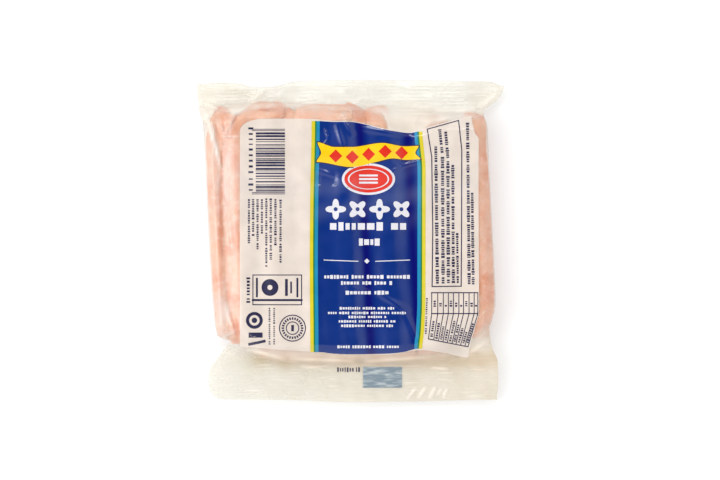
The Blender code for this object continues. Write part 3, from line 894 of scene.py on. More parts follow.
def build_sausage(number, path, half_widths, domes, dip, pinkness):
    """One sausage: an ellipse-like section carried along its centreline. The section is squared by the
    power SQUARENESS, shrinks to a dome and a small nub at each end, and is pressed flat by the film, which
    an exponential keeps it inside at the pack's sides. It never passes the middle between the film's two
    faces. Its far end dips by the square of how far along its last stretch it is."""
    way = np.array(path, float)
    reach = np.concatenate(([0], np.cumsum(np.hypot(*np.diff(way, axis=0).T))))
    length = reach[-1]
    station = length * (1 - np.cos(math.pi * np.arange(SAUSAGE_STATIONS + 1) / SAUSAGE_STATIONS)) / 2
    centre = np.stack([through(list(zip(reach, way[:, axis])), station) for axis in (0, 1)], -1)
    tangent = np.gradient(centre, station, axis=0)
    tangent /= np.linalg.norm(tangent, axis=1, keepdims=True)
    side = np.stack((tangent[:, 1], -tangent[:, 0]), -1)

    start, middle, end = half_widths
    widths = [(0, start), (WIDE_FROM * length, middle), (WIDE_TO * length, middle), (length, end)]
    half_width = through(widths, station)
    from_end = np.minimum(station, length - station)
    dome = np.where(station < length / 2, domes[0], domes[1])
    round_part = np.sqrt(1 - (1 - np.clip((from_end - NUB_LENGTH / 2) / dome, 0, 1)) ** 3)
    nub_part = NUB_SHARE * np.sqrt(1 - (1 - np.clip(from_end / NUB_LENGTH, 0, 1)) ** 2)
    swell = (round_part**4 + nub_part**4) ** 0.25

    angle = np.linspace(0, 2 * math.pi, SAUSAGE_SIDES, endpoint=False)
    across = np.sign(np.cos(angle)) * np.abs(np.cos(angle)) ** (2 / SQUARENESS)
    up = np.sign(np.sin(angle)) * np.abs(np.sin(angle)) ** (2 / SQUARENESS)
    lumps = 1 + 0.03 * waves(station[:, None] / 9.0, np.sin(angle) * 1.2, 1.0, 60 + number)
    lumps += 0.014 * waves(station[:, None] / 3.2, np.cos(angle) * 2.5, 1.0, 80 + number)
    wide = (half_width * swell)[:, None] * across * lumps
    tall = (SAUSAGE_HALF_HEIGHT * swell)[:, None] * up * lumps
    x = centre[:, 0, None] + side[:, 0, None] * wide
    y = centre[:, 1, None] + side[:, 1, None] * wide
    past_left = np.maximum(through(LEFT_EDGE, y) + SIDE_GAP + SIDE_SOFTNESS - x, 0)
    past_right = np.maximum(x - through(RIGHT_EDGE, y) + SIDE_GAP + SIDE_SOFTNESS, 0)
    x = x + past_left - SIDE_SOFTNESS * (1 - np.exp(-past_left / SIDE_SOFTNESS))
    x = x - past_right + SIDE_SOFTNESS * (1 - np.exp(-past_right / SIDE_SOFTNESS))
    z = SAUSAGE_MID_HEIGHT + tall
    bend = np.clip((station - length + WRINKLE_START) / 6, 0, 1)
    bend = bend * np.clip((length - WRINKLE_STOP - station) / 4, 0, 1) * (len(path) > BEND_POINTS)
    wrinkle = bend[:, None] * np.exp(-(((across - WRINKLE_PLACE) / WRINKLE_WIDTH) ** 2)) * (up > 0)
    dents = DENT_DEPTH * (1 + waves(station[:, None] / 5.0, angle * 1.6, 1.0, 70 + number)).clip(0)
    dents += dip * np.clip((station - length + DIP_LENGTH) / DIP_LENGTH, 0, 1)[:, None] ** 2
    film_top, film_bottom = film_height(x, y, 1), film_height(x, y, -1)
    film_middle = (film_top + film_bottom) / 2
    pressed = FILM_GAP + WRINKLE_DEPTH * wrinkle + dents * side_turn(x, y) ** 2
    ceiling = np.maximum(film_top - pressed, film_middle)
    z = np.clip(z, np.minimum(film_bottom + FILM_GAP, film_middle), ceiling)
    points = np.stack((x, y, z), -1)
    rings = points[1:-1]
    tips = np.stack((points[0].mean(0), points[-1].mean(0)))

    count = (SAUSAGE_STATIONS - 1) * SAUSAGE_SIDES
    index = np.arange(count).reshape(SAUSAGE_STATIONS - 1, SAUSAGE_SIDES)
    ring = np.concatenate((index, index[:, :1]), 1)
    quads = grid_faces(ring)[:, ::-1]
    first = np.stack((np.full(SAUSAGE_SIDES, count), ring[0, 1:], ring[0, :-1]), -1)[:, ::-1]
    last = np.stack((np.full(SAUSAGE_SIDES, count + 1), ring[-1, :-1], ring[-1, 1:]), -1)[:, ::-1]
    all_points = np.concatenate((rings.reshape(-1, 3), tips))
    # Painted shade: deeper pink on the upper flanks where a sausage meets its neighbours, and in the bend's
    # wrinkle.
    crevice_shade = np.abs(np.cos(angle)) ** 8 * np.clip(3 * np.sin(angle), 0, 1)
    deeper = END_PINK * np.exp(-((from_end / END_REACH) ** 2))[:, None]
    deeper = deeper + CREVICE_SHADE * crevice_shade + WRINKLE_SHADE * wrinkle
    # This map of deeper pink, stored on the mesh, mixes painted shade with the meat's own pink.
    pink = np.concatenate((deeper[1:-1].ravel(), (1.0, 1.0)))
    pink += pinkness + 0.25 * waves(all_points[:, 0], all_points[:, 1], 30.0, 95)
    # Spots of painted shade and painted light, and a few of the meat's own pink.
    pink += spots(all_points[:, 0], all_points[:, 1], PINK_SHADE_AND_LIGHT_SPOTS)
    faces = [quads, first, last]
    make_mesh(f"sausage_{number}", all_points, faces, sausage_material(), {"pinkness": pink})


def panel(left, right, lower, upper, step=PRINT_STEP, slack=0.0):
    """Plan grid between two side curves x(y) and two end curves y(x), grown on all sides by slack. Each
    place is a mix of the curves beside it, worked out in rounds until both sets of curves are met."""
    x_range = (min(x for _, x in left), max(x for _, x in right))
    y_range = (min(y for _, y in lower), max(y for _, y in upper))
    columns = max(2, math.ceil((x_range[1] - x_range[0]) / step) + 1)
    rows = max(2, math.ceil((y_range[1] - y_range[0]) / step) + 1)
    across, along = np.meshgrid(np.linspace(0, 1, columns), np.linspace(0, 1, rows))
    y = y_range[0] + (y_range[1] - y_range[0]) * along
    for _ in range(PANEL_ROUNDS):
        low_x = through(left, y) - slack
        high_x = through(right, y) + slack
        x = low_x + (high_x - low_x) * across
        low_y = through(lower, x) - slack
        high_y = through(upper, x) + slack
        y = low_y + (high_y - low_y) * along
    return np.stack((x, y), -1)


def box_panel(low, high, step):
    """Plan grid of a plain rectangle."""
    (x0, y0), (x1, y1) = low, high
    left, right = ((y0, x0), (y1, x0)), ((y0, x1), (y1, x1))
    return panel(left, right, ((x0, y0), (x1, y0)), ((x0, y1), (x1, y1)), step)


def blocks(centres, direction, length, height):
    """Plan grids (count, rows, columns, 2) of blocks with their length, one for all or one each, along a
    direction."""
    length = np.broadcast_to(length, len(centres))
    height = np.broadcast_to(height, len(centres))
    columns = max(2, math.ceil(length.max() / MARK_STEP) + 1)
    rows = max(2, math.ceil(height.max() / MARK_STEP) + 1)
    across, along = np.meshgrid(np.linspace(-0.5, 0.5, columns), np.linspace(-0.5, 0.5, rows))
    forward = np.array(direction, float)
    sideways = np.array((-forward[1], forward[0]))
    offsets = across[..., None] * length[:, None, None, None] * forward
    offsets = offsets + along[..., None] * height[:, None, None, None] * sideways
    return np.asarray(centres, float)[:, None, None, :] + offsets


def block_row(x0, y0, x1, y1, height, block, gap, seed):
    """A row of blocks of random lengths and heights, with a wider gap after each random group of them."""
    start, end = np.array((x0, y0)), np.array((x1, y1))
    length = float(np.hypot(*(end - start)))
    direction = (end - start) / length
    rng = np.random.default_rng(seed)
    count = 2 * math.ceil(length / (block + gap)) + 2
    lengths = block * rng.uniform(*BLOCK_LENGTHS, count)
    heights = height * rng.choice(BLOCK_HEIGHTS, count)
    spaces = np.full(count, gap)
    breaks = np.cumsum(rng.integers(*BLOCK_GROUPS, count))
    spaces[breaks[breaks < count]] += block if length > LONG_ROW * block else 0
    ends = np.cumsum(lengths + spaces) - spaces
    keep = ends <= length
    middles = (ends - lengths / 2)[keep] + (length - ends[keep].max()) / 2
    centres = start + middles[:, None] * direction
    return blocks(centres, direction, lengths[keep], heights[keep])


def stroke(points, width):
    """Plan grids of a line of even width along straight runs between points, square at its ends."""
    way = np.array(points, float)
    grids = []
    for start, end in zip(way[:-1], way[1:]):
        length = float(np.hypot(*(end - start)))
        direction = (end - start) / length
        grids.append(blocks([(start + end) / 2], direction, length + width, width))
    return grids


def oval(centre, half_width, half_height, inner=0.02, cells=48, rings=8):
    """Plan grid of an ellipse, or of the band between it and the smaller one at its inner share."""
    angle = np.linspace(2 * math.pi, 0, cells + 1)
    share = np.linspace(inner, 1, rings)[:, None]
    x = centre[0] + share * half_width * np.cos(angle)
    y = centre[1] + share * half_height * np.sin(angle)
    return np.stack((x, y), -1)


def rosette(centre, radius, turn):
    """Plan grid of four petals round an open middle, standing or turned by an eighth. Their rim is at the
    radius times a share that swings as the cosine of four times the angle."""
    angle = np.linspace(2 * math.pi, 0, 65)
    rim = radius * (PETAL_MEAN + PETAL_SWING * np.cos(4 * angle))
    middle = ROSETTE_MIDDLE * radius
    reach = middle + np.linspace(0, 1, 9)[:, None] * (rim - middle)
    angle = angle + turn * math.pi / 4
    return np.stack((centre[0] + reach * np.cos(angle), centre[1] + reach * np.sin(angle)), -1)


def lay(plans, layer):
    """Puts plan grids on the film, at the height of their layer of ink."""
    return [on_film(plan, FILM_LIFT + LIFT_STEP * layer) for plan in plans]


def stripe(edge, near, far, side):
    """Plan grid of a stripe that follows a side edge of the blue panel at a distance."""
    inner = [(y, x + side * near) for y, x in edge]
    outer = [(y, x + side * far) for y, x in edge]
    left, right = (inner, outer) if side > 0 else (outer, inner)
    return panel(left, right, BLUE_LOWER, BLUE_UPPER)


def build_white_print():
    """The white band across the front of the film."""
    grids = lay([panel(WHITE_LEFT, WHITE_RIGHT, WHITE_LOWER, WHITE_UPPER)], 0)
    mesh_of_grids("white_band", grids, white_print_material())


def build_blue_print():
    """The blue panel in the middle of the band."""
    grids = lay([panel(BLUE_LEFT, BLUE_RIGHT, BLUE_LOWER, BLUE_UPPER)], 1)
    mesh_of_grids("blue_panel", grids, ink_material("blue"))


def build_colour_print():
    """The stripes beside the blue panel, the ribbon, the oval mark and the grey mark on a seal."""
    for name, near, far in STRIPES:
        plans = [stripe(BLUE_LEFT, near, far, -1), stripe(BLUE_RIGHT, near, far, 1)]
        mesh_of_grids(f"stripes_{name}", lay(plans, 1), ink_material(name))

    outline = panel(RIBBON_LEFT, RIBBON_RIGHT, RIBBON_LOWER, RIBBON_UPPER, slack=RIBBON_OUTLINE)
    mesh_of_grids("ribbon_outline", lay([outline], 2), ink_material("dark"))
    ribbon = panel(RIBBON_LEFT, RIBBON_RIGHT, RIBBON_LOWER, RIBBON_UPPER)
    mesh_of_grids("ribbon", lay([ribbon], 3), ink_material("yellow"))

    middle = [(through(RIBBON_UPPER, x) + through(RIBBON_LOWER, x)) / 2 for x in RIBBON_DIAMONDS]
    diamonds = blocks(list(zip(RIBBON_DIAMONDS, middle)), DIAGONAL, DIAMOND_SIDE, DIAMOND_SIDE)
    red = [oval(OVAL_CENTRE, *OVAL_FIELD), diamonds]
    white = [oval(OVAL_CENTRE, *OVAL_BORDER)]
    bars = [(OVAL_CENTRE[0], OVAL_CENTRE[1] + rise) for rise in OVAL_BARS]
    lines = [oval(OVAL_CENTRE, *OVAL_RIM, 0.93, rings=3), blocks(bars, (1, 0), *OVAL_BAR_SIZE)]
    mesh_of_grids("oval_border", lay(white, 2), ink_material("block"))
    mesh_of_grids("red_shapes", lay(red, 4), ink_material("red"))
    mesh_of_grids("oval_lines", lay(lines, 5), ink_material("block"))

    grey = [box_panel(*GREY_MARK, GREY_MARK_STEP)]
    mesh_of_grids("grey_mark", lay(grey, 0), grey_ink_with_painted_sheen_material())


def build_white_blocks():
    """White shapes on the blue panel: rows of plain blocks, four rosettes, and a thin rule."""
    plans = [block_row(*row, seed) for seed, row in enumerate(WHITE_ROWS)]
    plans += [rosette((x, ROSETTE_LEVEL), ROSETTE_RADIUS, number % 2) for number, x in enumerate(ROSETTES)]
    for points in RULE:
        plans += stroke(points, RULE_WIDTH)
    plans.append(blocks([RULE_DIAMOND], DIAGONAL, RULE_DIAMOND_SIDE, RULE_DIAMOND_SIDE))
    mesh_of_grids("white_blocks", lay(plans, 2), ink_material("block"))


def bar_widths():
    """Widths in modules of alternate bars and spaces, one to three modules each, by a seeded draw."""
    rng = np.random.default_rng(BARS_SEED)
    widths = [1, 1, 1]
    while sum(widths) < BARS_MODULES - 4:
        widths.append(int(rng.choice((1, 1, 2, 2, 3))))
    return widths + [1, 1, 1]


def bar_plans():
    """Plan blocks of the bars, across X, stacked down Y."""
    plans = []
    place = BARS_TOP
    widths = bar_widths()
    for number, width in enumerate(widths):
        height = width * BARS_MODULE
        if number % 2 == 0:
            guard = number in (0, 2, len(widths) // 2 - 1, len(widths) - 1, len(widths) - 3)
            left = BARS_LEFT - (BARS_GUARD_REACH if guard else 0.0)
            centre = ((left + BARS_RIGHT) / 2, place - height / 2)
            plans.append(blocks([centre], (1, 0), BARS_RIGHT - left, height))
        place -= height
    return plans


def table_plans():
    """Plan grids of the table: its lines, columns that bend at the divider, and a row of blocks above and
    one under the divider in each column, between mixes of the places where its middle meets the lines."""
    lines = np.array((TABLE_TOP, TABLE_DIVIDER, TABLE_FOOT))

    def column(share):
        return lines[:, 0] + share * (lines[:, 1] - lines[:, 0])

    plans = []
    for line in lines:
        plans += stroke(line, LINE_WIDTH)
    for share in TABLE_COLUMNS:
        plans += stroke(column(share), LINE_WIDTH * 0.8)
    for number, (near, far) in enumerate(zip(TABLE_COLUMNS, TABLE_COLUMNS[1:])):
        top, divider, foot = column((near + far) / 2)
        upper_seed, lower_seed = (seed + number for seed in TABLE_SEEDS)
        start = (top[0], top[1] - 3.5 - number % 3)
        plans.append(block_row(*start, *(top * 0.3 + divider * 0.7), *TABLE_UPPER_BLOCKS, upper_seed))
        start = divider * (0.75 - 0.1 * (number % 4)) + foot * (0.25 + 0.1 * (number % 4))
        plans.append(block_row(*start, *(divider * 0.06 + foot * 0.94), *TABLE_LOWER_BLOCKS, lower_seed))
    return plans


def build_dark_print():
    """Dark ink on the white band: bars, rows of plain blocks, frames, the table and plain marks."""
    plans = bar_plans()
    plans += [block_row(*row, DARK_SEED + number) for number, row in enumerate(DARK_ROWS)]
    plans += stroke(TALL_FRAME, LINE_WIDTH)
    plans += table_plans()
    for points, width in MARK_STROKES:
        plans += stroke(points, width)
    plans += [oval(*ring) for ring in MARK_RINGS]
    plans += [blocks(*group) for group in MARK_BLOCKS]
    for turn in range(0, 360, TICK_TURN):
        right, up = math.cos(math.radians(turn)), math.sin(math.radians(turn))
        spot = (STAMP_CENTRE[0] + TICK_RADIUS * right, STAMP_CENTRE[1] + TICK_RADIUS * up)
        plans.append(blocks([spot], (-up, right), *TICK_SIZE))
    mesh_of_grids("dark_marks", lay(plans, 1), ink_material("dark"))


def build_fin_seal():
    """The seal up the back: a flat strip under the film, folded to one side, with its own thin edges. It
    follows the film's underside, rippled by a sine of the place along it."""
    x = np.linspace(*FIN_SIDES, 9)
    y = np.linspace(*FIN_ENDS, 181)[:, None]
    x, y = np.broadcast_arrays(x, y)
    ripple = FIN_RIPPLE * np.sin(2 * math.pi * y / FIN_RIPPLE_PITCH)
    upper = film_height(x, y, -1) - FIN_GAP + ripple
    lower = upper - FIN_THICKNESS
    rows, columns = x.shape
    index = np.arange(rows * columns).reshape(rows, columns)
    under = index + rows * columns
    rim = []
    for top_line, low_line in (
        (index[0], under[0]), (index[:, -1], under[:, -1]), (index[-1, ::-1], under[-1, ::-1]),
        (index[::-1, 0], under[::-1, 0]),
    ):
        rim.append(np.stack((low_line[:-1], low_line[1:], top_line[1:], top_line[:-1]), -1))
    points = np.concatenate([np.stack((x, y, z), -1).reshape(-1, 3) for z in (upper, lower)])
    faces = [grid_faces(index), grid_faces(under)[:, ::-1], *rim]
    make_mesh("fin_seal", points, faces, fin_film_material())


def add_node(tree, kind, settings=None, links=None):
    """Adds a node, sets its properties and sockets, and links sockets to it."""
    node = tree.nodes.new(kind)
    for name, value in (settings or {}).items():
        if isinstance(name, int) or name in node.inputs:
            node.inputs[name].default_value = value
        else:
            setattr(node, name, value)
    for name, socket in (links or {}).items():
        tree.links.new(socket, node.inputs[name])
    return node


def new_material(name):
    """The node tree, output node and data of an empty material."""
    material = bpy.data.materials.new(name)
    material.use_nodes = True
    material.node_tree.nodes.clear()
    output = material.node_tree.nodes.new("ShaderNodeOutputMaterial")
    return material.node_tree, output, material


def per(size):
    """Texture scale on coordinates in metres for a pattern of a size in millimetres."""
    return 1 / (size * MM)


def crinkle_bump(tree, depth):
    """Soft crinkles of thin film, 6 mm across with finer ones among them, as a bump of a depth in
    millimetres."""
    place = add_node(tree, "ShaderNodeTexCoord").outputs["Object"]
    crinkles = add_node(
        tree, "ShaderNodeTexNoise", {"Scale": per(6.0), "Detail": 2.0, "Roughness": 0.45, "Distortion": 0.6},
        {"Vector": place},
    )
    return add_node(
        tree, "ShaderNodeBump", {"Strength": 1.0, "Distance": depth * MM}, {"Height": crinkles.outputs[0]}
    ).outputs["Normal"]


def film_shader(tree, output):
    """Thin clear film: see-through, with a gloss that grows towards grazing, mixed with a milky part.
    Returns the nodes of its clear part, its gloss, its milky part and the mix of them."""
    settings = bpy.context.scene.sausage_pack
    normal = crinkle_bump(tree, settings.film_crinkle / MM)
    facing = add_node(tree, "ShaderNodeLayerWeight", {"Blend": 0.5}, {"Normal": normal}).outputs["Facing"]
    steep = add_node(tree, "ShaderNodeMath", {"operation": "POWER", 1: 4.0}, {0: facing}).outputs[0]
    gloss_share = add_node(
        tree, "ShaderNodeMath", {"operation": "MULTIPLY_ADD", 1: 0.7, 2: 0.05}, {0: steep}
    ).outputs[0]
    clear = add_node(tree, "ShaderNodeBsdfTransparent")
    gloss = add_node(tree, "ShaderNodeBsdfGlossy", links={"Normal": normal})
    skin = add_node(
        tree, "ShaderNodeMixShader", links={0: gloss_share, 1: clear.outputs[0], 2: gloss.outputs[0]}
    ).outputs[0]
    milk = add_node(tree, "ShaderNodeBsdfDiffuse", links={"Normal": normal})
    mixed = add_node(tree, "ShaderNodeMixShader", links={1: skin, 2: milk.outputs[0]})
    tree.links.new(mixed.outputs[0], output.inputs["Surface"])
    return clear, gloss, milk, mixed


def clear_film_material():
    """Cast polypropylene film about 0.05 mm thick: clear over the meat and soft in its gloss where it clings
    to it, sharper on folds and taut facets, milky and straw-tinted where two layers are fused. Its tint and
    the warmth of its milk also carry painted shade, and its milk carries painted highlights and glints."""
    settings = bpy.context.scene.sausage_pack
    tree, output, material = new_material("cast_polypropylene_film")
    clear, gloss, milk, mixed = film_shader(tree, output)
    looks = {
        label: add_node(tree, "ShaderNodeAttribute", {"attribute_name": label}).outputs["Fac"]
        for label in ("milk", "tone", "tautness")
    }
    # The tint and the milk's colour follow an attribute of warmth and painted shade.
    tint = add_node(
        tree, "ShaderNodeMix",
        {"data_type": "RGBA", 6: hex_colour("#fefefd"), 7: (*settings.film_tint_and_shade, 1.0)}, {0: looks["tone"]},
    ).outputs[2]
    milk_warmth_and_shade = add_node(
        tree, "ShaderNodeMix",
        {"data_type": "RGBA", 6: (*settings.haze_colour, 1.0), 7: (*settings.warm_haze_and_shade, 1.0)},
        {0: looks["tone"]},
    ).outputs[2]
    roughness = add_node(
        tree, "ShaderNodeMapRange", {"To Min": settings.film_roughness, "To Max": settings.taut_roughness},
        {"Value": looks["tautness"]},
    ).outputs["Result"]
    tree.links.new(looks["milk"], mixed.inputs[0])
    tree.links.new(tint, clear.inputs["Color"])
    tree.links.new(milk_warmth_and_shade, milk.inputs["Color"])
    tree.links.new(roughness, gloss.inputs["Roughness"])
    return material


def fin_film_material():
    """The same film where the back seal folds three layers together: a little milky all over."""
    settings = bpy.context.scene.sausage_pack
    tree, output, material = new_material("folded_polypropylene_film")
    clear, gloss, milk, mixed = film_shader(tree, output)
    mixed.inputs[0].default_value = 0.15 * settings.seal_haze
    clear.inputs["Color"].default_value = hex_colour("#fefefd")
    gloss.inputs["Roughness"].default_value = settings.film_roughness
    milk.inputs["Color"].default_value = (*settings.haze_colour, 1.0)
    return material


def sausage_material():
    """Raw pork sausage in a thin natural casing: pale pink, cloudy with lean and fat over a few millimetres,
    and softly shining where it is moist. The lean pink that a point's attribute asks for also carries painted
    shade in creases and notches, and is held back as painted light on some meat in shade."""
    name = "raw_pork_sausage"
    if name in bpy.data.materials:
        return bpy.data.materials[name]
    settings = bpy.context.scene.sausage_pack
    tree, output, material = new_material(name)
    place = add_node(tree, "ShaderNodeTexCoord").outputs["Object"]
    cloudy = add_node(tree, "ShaderNodeTexNoise", {"Scale": per(10.0), "Detail": 3.0}, {"Vector": place})
    fat = add_node(
        tree, "ShaderNodeTexNoise", {"Scale": per(3.2), "Detail": 4.0, "Roughness": 0.55}, {"Vector": place}
    )
    fine = add_node(tree, "ShaderNodeTexNoise", {"Scale": per(1.2), "Detail": 2.0}, {"Vector": place})
    threads = add_node(
        tree, "ShaderNodeTexNoise",
        {"noise_type": "RIDGED_MULTIFRACTAL", "Scale": per(9.0), "Detail": 2.0, "Roughness": 0.5},
        {"Vector": place},
    )
    # This attribute holds the meat's own deeper pink together with painted shade and painted light.
    pinkness = add_node(tree, "ShaderNodeAttribute", {"attribute_name": "pinkness"}).outputs["Fac"]
    clouds = add_node(
        tree, "ShaderNodeMapRange", {"From Min": 0.35, "From Max": 0.7, "To Min": -0.3, "To Max": 0.7},
        {"Value": cloudy.outputs[0]},
    ).outputs["Result"]
    veins = add_node(
        tree, "ShaderNodeMapRange", {"From Min": 0.9, "From Max": 1.5, "To Max": 0.3},
        {"Value": threads.outputs[0]},
    ).outputs["Result"]
    lean_and_shade_share = add_node(tree, "ShaderNodeMath", {"operation": "ADD"}, {0: clouds, 1: pinkness}).outputs[0]
    lean_and_shade_share = add_node(
        tree, "ShaderNodeMath", {"operation": "ADD", "use_clamp": True}, {0: lean_and_shade_share, 1: veins}
    ).outputs[0]
    lean = add_node(
        tree, "ShaderNodeMix",
        {"data_type": "RGBA", 6: (*settings.meat_colour, 1.0), 7: (*settings.lean_and_shade_colour, 1.0)},
        {0: lean_and_shade_share},
    ).outputs[2]
    fat_share = add_node(
        tree, "ShaderNodeMapRange", {"From Min": 0.5, "From Max": 0.72, "To Max": 0.5},
        {"Value": fat.outputs[0]},
    ).outputs["Result"]
    colour = add_node(
        tree, "ShaderNodeMix", {"data_type": "RGBA", 7: (*settings.fat_colour, 1.0)}, {0: fat_share, 6: lean}
    ).outputs[2]
    bump = add_node(
        tree, "ShaderNodeBump", {"Strength": 1.0, "Distance": 0.08 * MM}, {"Height": fine.outputs[0]}
    ).outputs["Normal"]
    skin = add_node(
        tree, "ShaderNodeBsdfPrincipled",
        {
            "Roughness": 0.4, "IOR": 1.4, "Subsurface Weight": 0.5, "Subsurface Scale": 3.0 * MM,
            "Subsurface Radius": (1.0, 0.5, 0.35),
        },
        {"Base Color": colour, "Normal": bump},
    )
    tree.links.new(skin.outputs[0], output.inputs["Surface"])
    return material


def ink_skin(tree, colour, valley_shade_colour):
    """Ink under the film's gloss: a colour a little cloudy over some 9 mm, with painted shade, a deeper
    colour, in the valleys between sausages, and a painted reflection of the film, a pale veil mixed in, in
    patches."""
    settings = bpy.context.scene.sausage_pack
    colour = np.array(colour)
    place = add_node(tree, "ShaderNodeTexCoord").outputs["Object"]
    cloudy = add_node(tree, "ShaderNodeTexNoise", {"Scale": per(9.0), "Detail": 3.0}, {"Vector": place})
    share = add_node(
        tree, "ShaderNodeMapRange", {"From Min": 0.35, "From Max": 0.7, "To Max": 1.0},
        {"Value": cloudy.outputs[0]},
    ).outputs["Result"]
    paler = np.clip(colour * 1.06 + 0.004, 0, 1)
    blend = add_node(
        tree, "ShaderNodeMix",
        {"data_type": "RGBA", 6: (*(colour * 0.95), 1.0), 7: (*paler, 1.0)}, {0: share},
    ).outputs[2]
    # Painted shade: a deeper colour in the valleys between sausages.
    valley = add_node(tree, "ShaderNodeAttribute", {"attribute_name": "valley"}).outputs["Fac"]
    blend = add_node(
        tree, "ShaderNodeMix", {"data_type": "RGBA", 7: (*valley_shade_colour, 1.0)}, {0: valley, 6: blend}
    ).outputs[2]
    # Painted reflection: a pale veil mixed into the ink in patches, standing in for the film's reflection of
    # the room.
    haze = add_node(tree, "ShaderNodeAttribute", {"attribute_name": "haze"}).outputs["Fac"]
    haze_share = add_node(
        tree, "ShaderNodeMath", {"operation": "MULTIPLY", 1: settings.print_haze}, {0: haze}
    ).outputs[0]
    blend = add_node(
        tree, "ShaderNodeMix", {"data_type": "RGBA", 7: (*settings.reflected_veil_colour, 1.0)},
        {0: haze_share, 6: blend},
    ).outputs[2]
    return add_node(
        tree, "ShaderNodeBsdfPrincipled", {"Roughness": settings.print_roughness, "IOR": 1.5},
        {"Base Color": blend, "Normal": crinkle_bump(tree, settings.print_crinkle / MM)},
    ).outputs[0]


def ink_material(colour_name):
    """Solvent ink printed on the inside of glossy film: an opaque colour under the film's gloss, a little
    cloudy, with painted shade in the valleys between sausages and a painted reflection, a pale veil, in
    patches.
    """
    name = f"{colour_name}_solvent_ink"
    if name in bpy.data.materials:
        return bpy.data.materials[name]
    tree, output, material = new_material(name)
    settings = bpy.context.scene.sausage_pack
    colour = getattr(settings, f"{colour_name}_ink")
    valley_shade_colour = settings.shaded_blue_ink if colour_name == "blue" else colour
    tree.links.new(ink_skin(tree, colour, valley_shade_colour), output.inputs["Surface"])
    return material


def grey_ink_with_painted_sheen_material():
    """Grey ink stamped across the crimped ribs of a seal, with pale streaks about a millimetre thick along
    the ribs: a painted highlight of the ribs' sheen."""
    settings = bpy.context.scene.sausage_pack
    tree, output, material = new_material("rubbed_grey_ink")
    place = add_node(tree, "ShaderNodeTexCoord").outputs["Object"]
    drawn_out = add_node(
        tree, "ShaderNodeMapping", {"Scale": (0.17, 1.0, 1.0)}, {"Vector": place}
    ).outputs[0]
    streaks = add_node(
        tree, "ShaderNodeTexNoise", {"Scale": per(1.3), "Detail": 2.0, "Roughness": 0.6},
        {"Vector": drawn_out},
    ).outputs[0]
    # Painted highlight: pale streaks along the ribs.
    rib_sheen = add_node(
        tree, "ShaderNodeMapRange", {"From Min": 0.46, "From Max": 0.66, "To Max": 0.85}, {"Value": streaks}
    ).outputs["Result"]
    colour = add_node(
        tree, "ShaderNodeMix",
        {"data_type": "RGBA", 6: (*settings.grey_ink, 1.0), 7: (*settings.rib_sheen_grey, 1.0)}, {0: rib_sheen},
    ).outputs[2]
    skin = add_node(
        tree, "ShaderNodeBsdfPrincipled", {"Roughness": 0.3, "IOR": 1.5},
        {"Base Color": colour, "Normal": crinkle_bump(tree, settings.print_crinkle / MM)},
    ).outputs[0]
    tree.links.new(skin, output.inputs["Surface"])
    return material


def white_print_material():
    """White ink, thin enough for the pink of the meat to show through a little."""
    settings = bpy.context.scene.sausage_pack
    tree, output, material = new_material("thin_white_solvent_ink")
    clear = add_node(tree, "ShaderNodeBsdfTransparent").outputs[0]
    skin = ink_skin(tree, settings.white_ink, settings.white_ink)
    mixed = add_node(tree, "ShaderNodeMixShader", {0: settings.white_cover}, {1: clear, 2: skin})
    tree.links.new(mixed.outputs[0], output.inputs["Surface"])
    return material


def floor_material():
    """Matt opal acrylic, faintly lit from below, which keeps the shadows pale."""
    tree, output, material = new_material("opal_acrylic")
    place = add_node(tree, "ShaderNodeTexCoord").outputs["Object"]
    paper = add_node(tree, "ShaderNodeTexNoise", {"Scale": per(1.5), "Detail": 2.0}, {"Vector": place})
    bump = add_node(
        tree, "ShaderNodeBump", {"Strength": 0.3, "Distance": 0.02 * MM}, {"Height": paper.outputs[0]}
    ).outputs["Normal"]
    skin = add_node(
        tree, "ShaderNodeBsdfPrincipled",
        {
            "Base Color": hex_colour("#d3d3d3"), "Roughness": 0.9, "Emission Color": hex_colour("#ffffff"),
            "Emission Strength": 0.31,
        },
        {"Normal": bump},
    )
    tree.links.new(skin.outputs[0], output.inputs["Surface"])
    return material


def add_softbox(name, place, size, power):
    """A level rectangular lamp that faces the pack's middle, with its place and size in metres."""
    lamp = bpy.data.lights.new(name, "AREA")
    lamp.shape = "RECTANGLE"
    lamp.size, lamp.size_y = size
    lamp.energy = power
    holder = bpy.data.objects.new(name, lamp)
    holder.location = place
    flat = math.hypot(place[0], place[1])
    holder.rotation_euler = (math.atan2(flat, place[2]), 0, math.atan2(place[1], place[0]) + math.pi / 2)
    bpy.context.scene.collection.objects.link(holder)


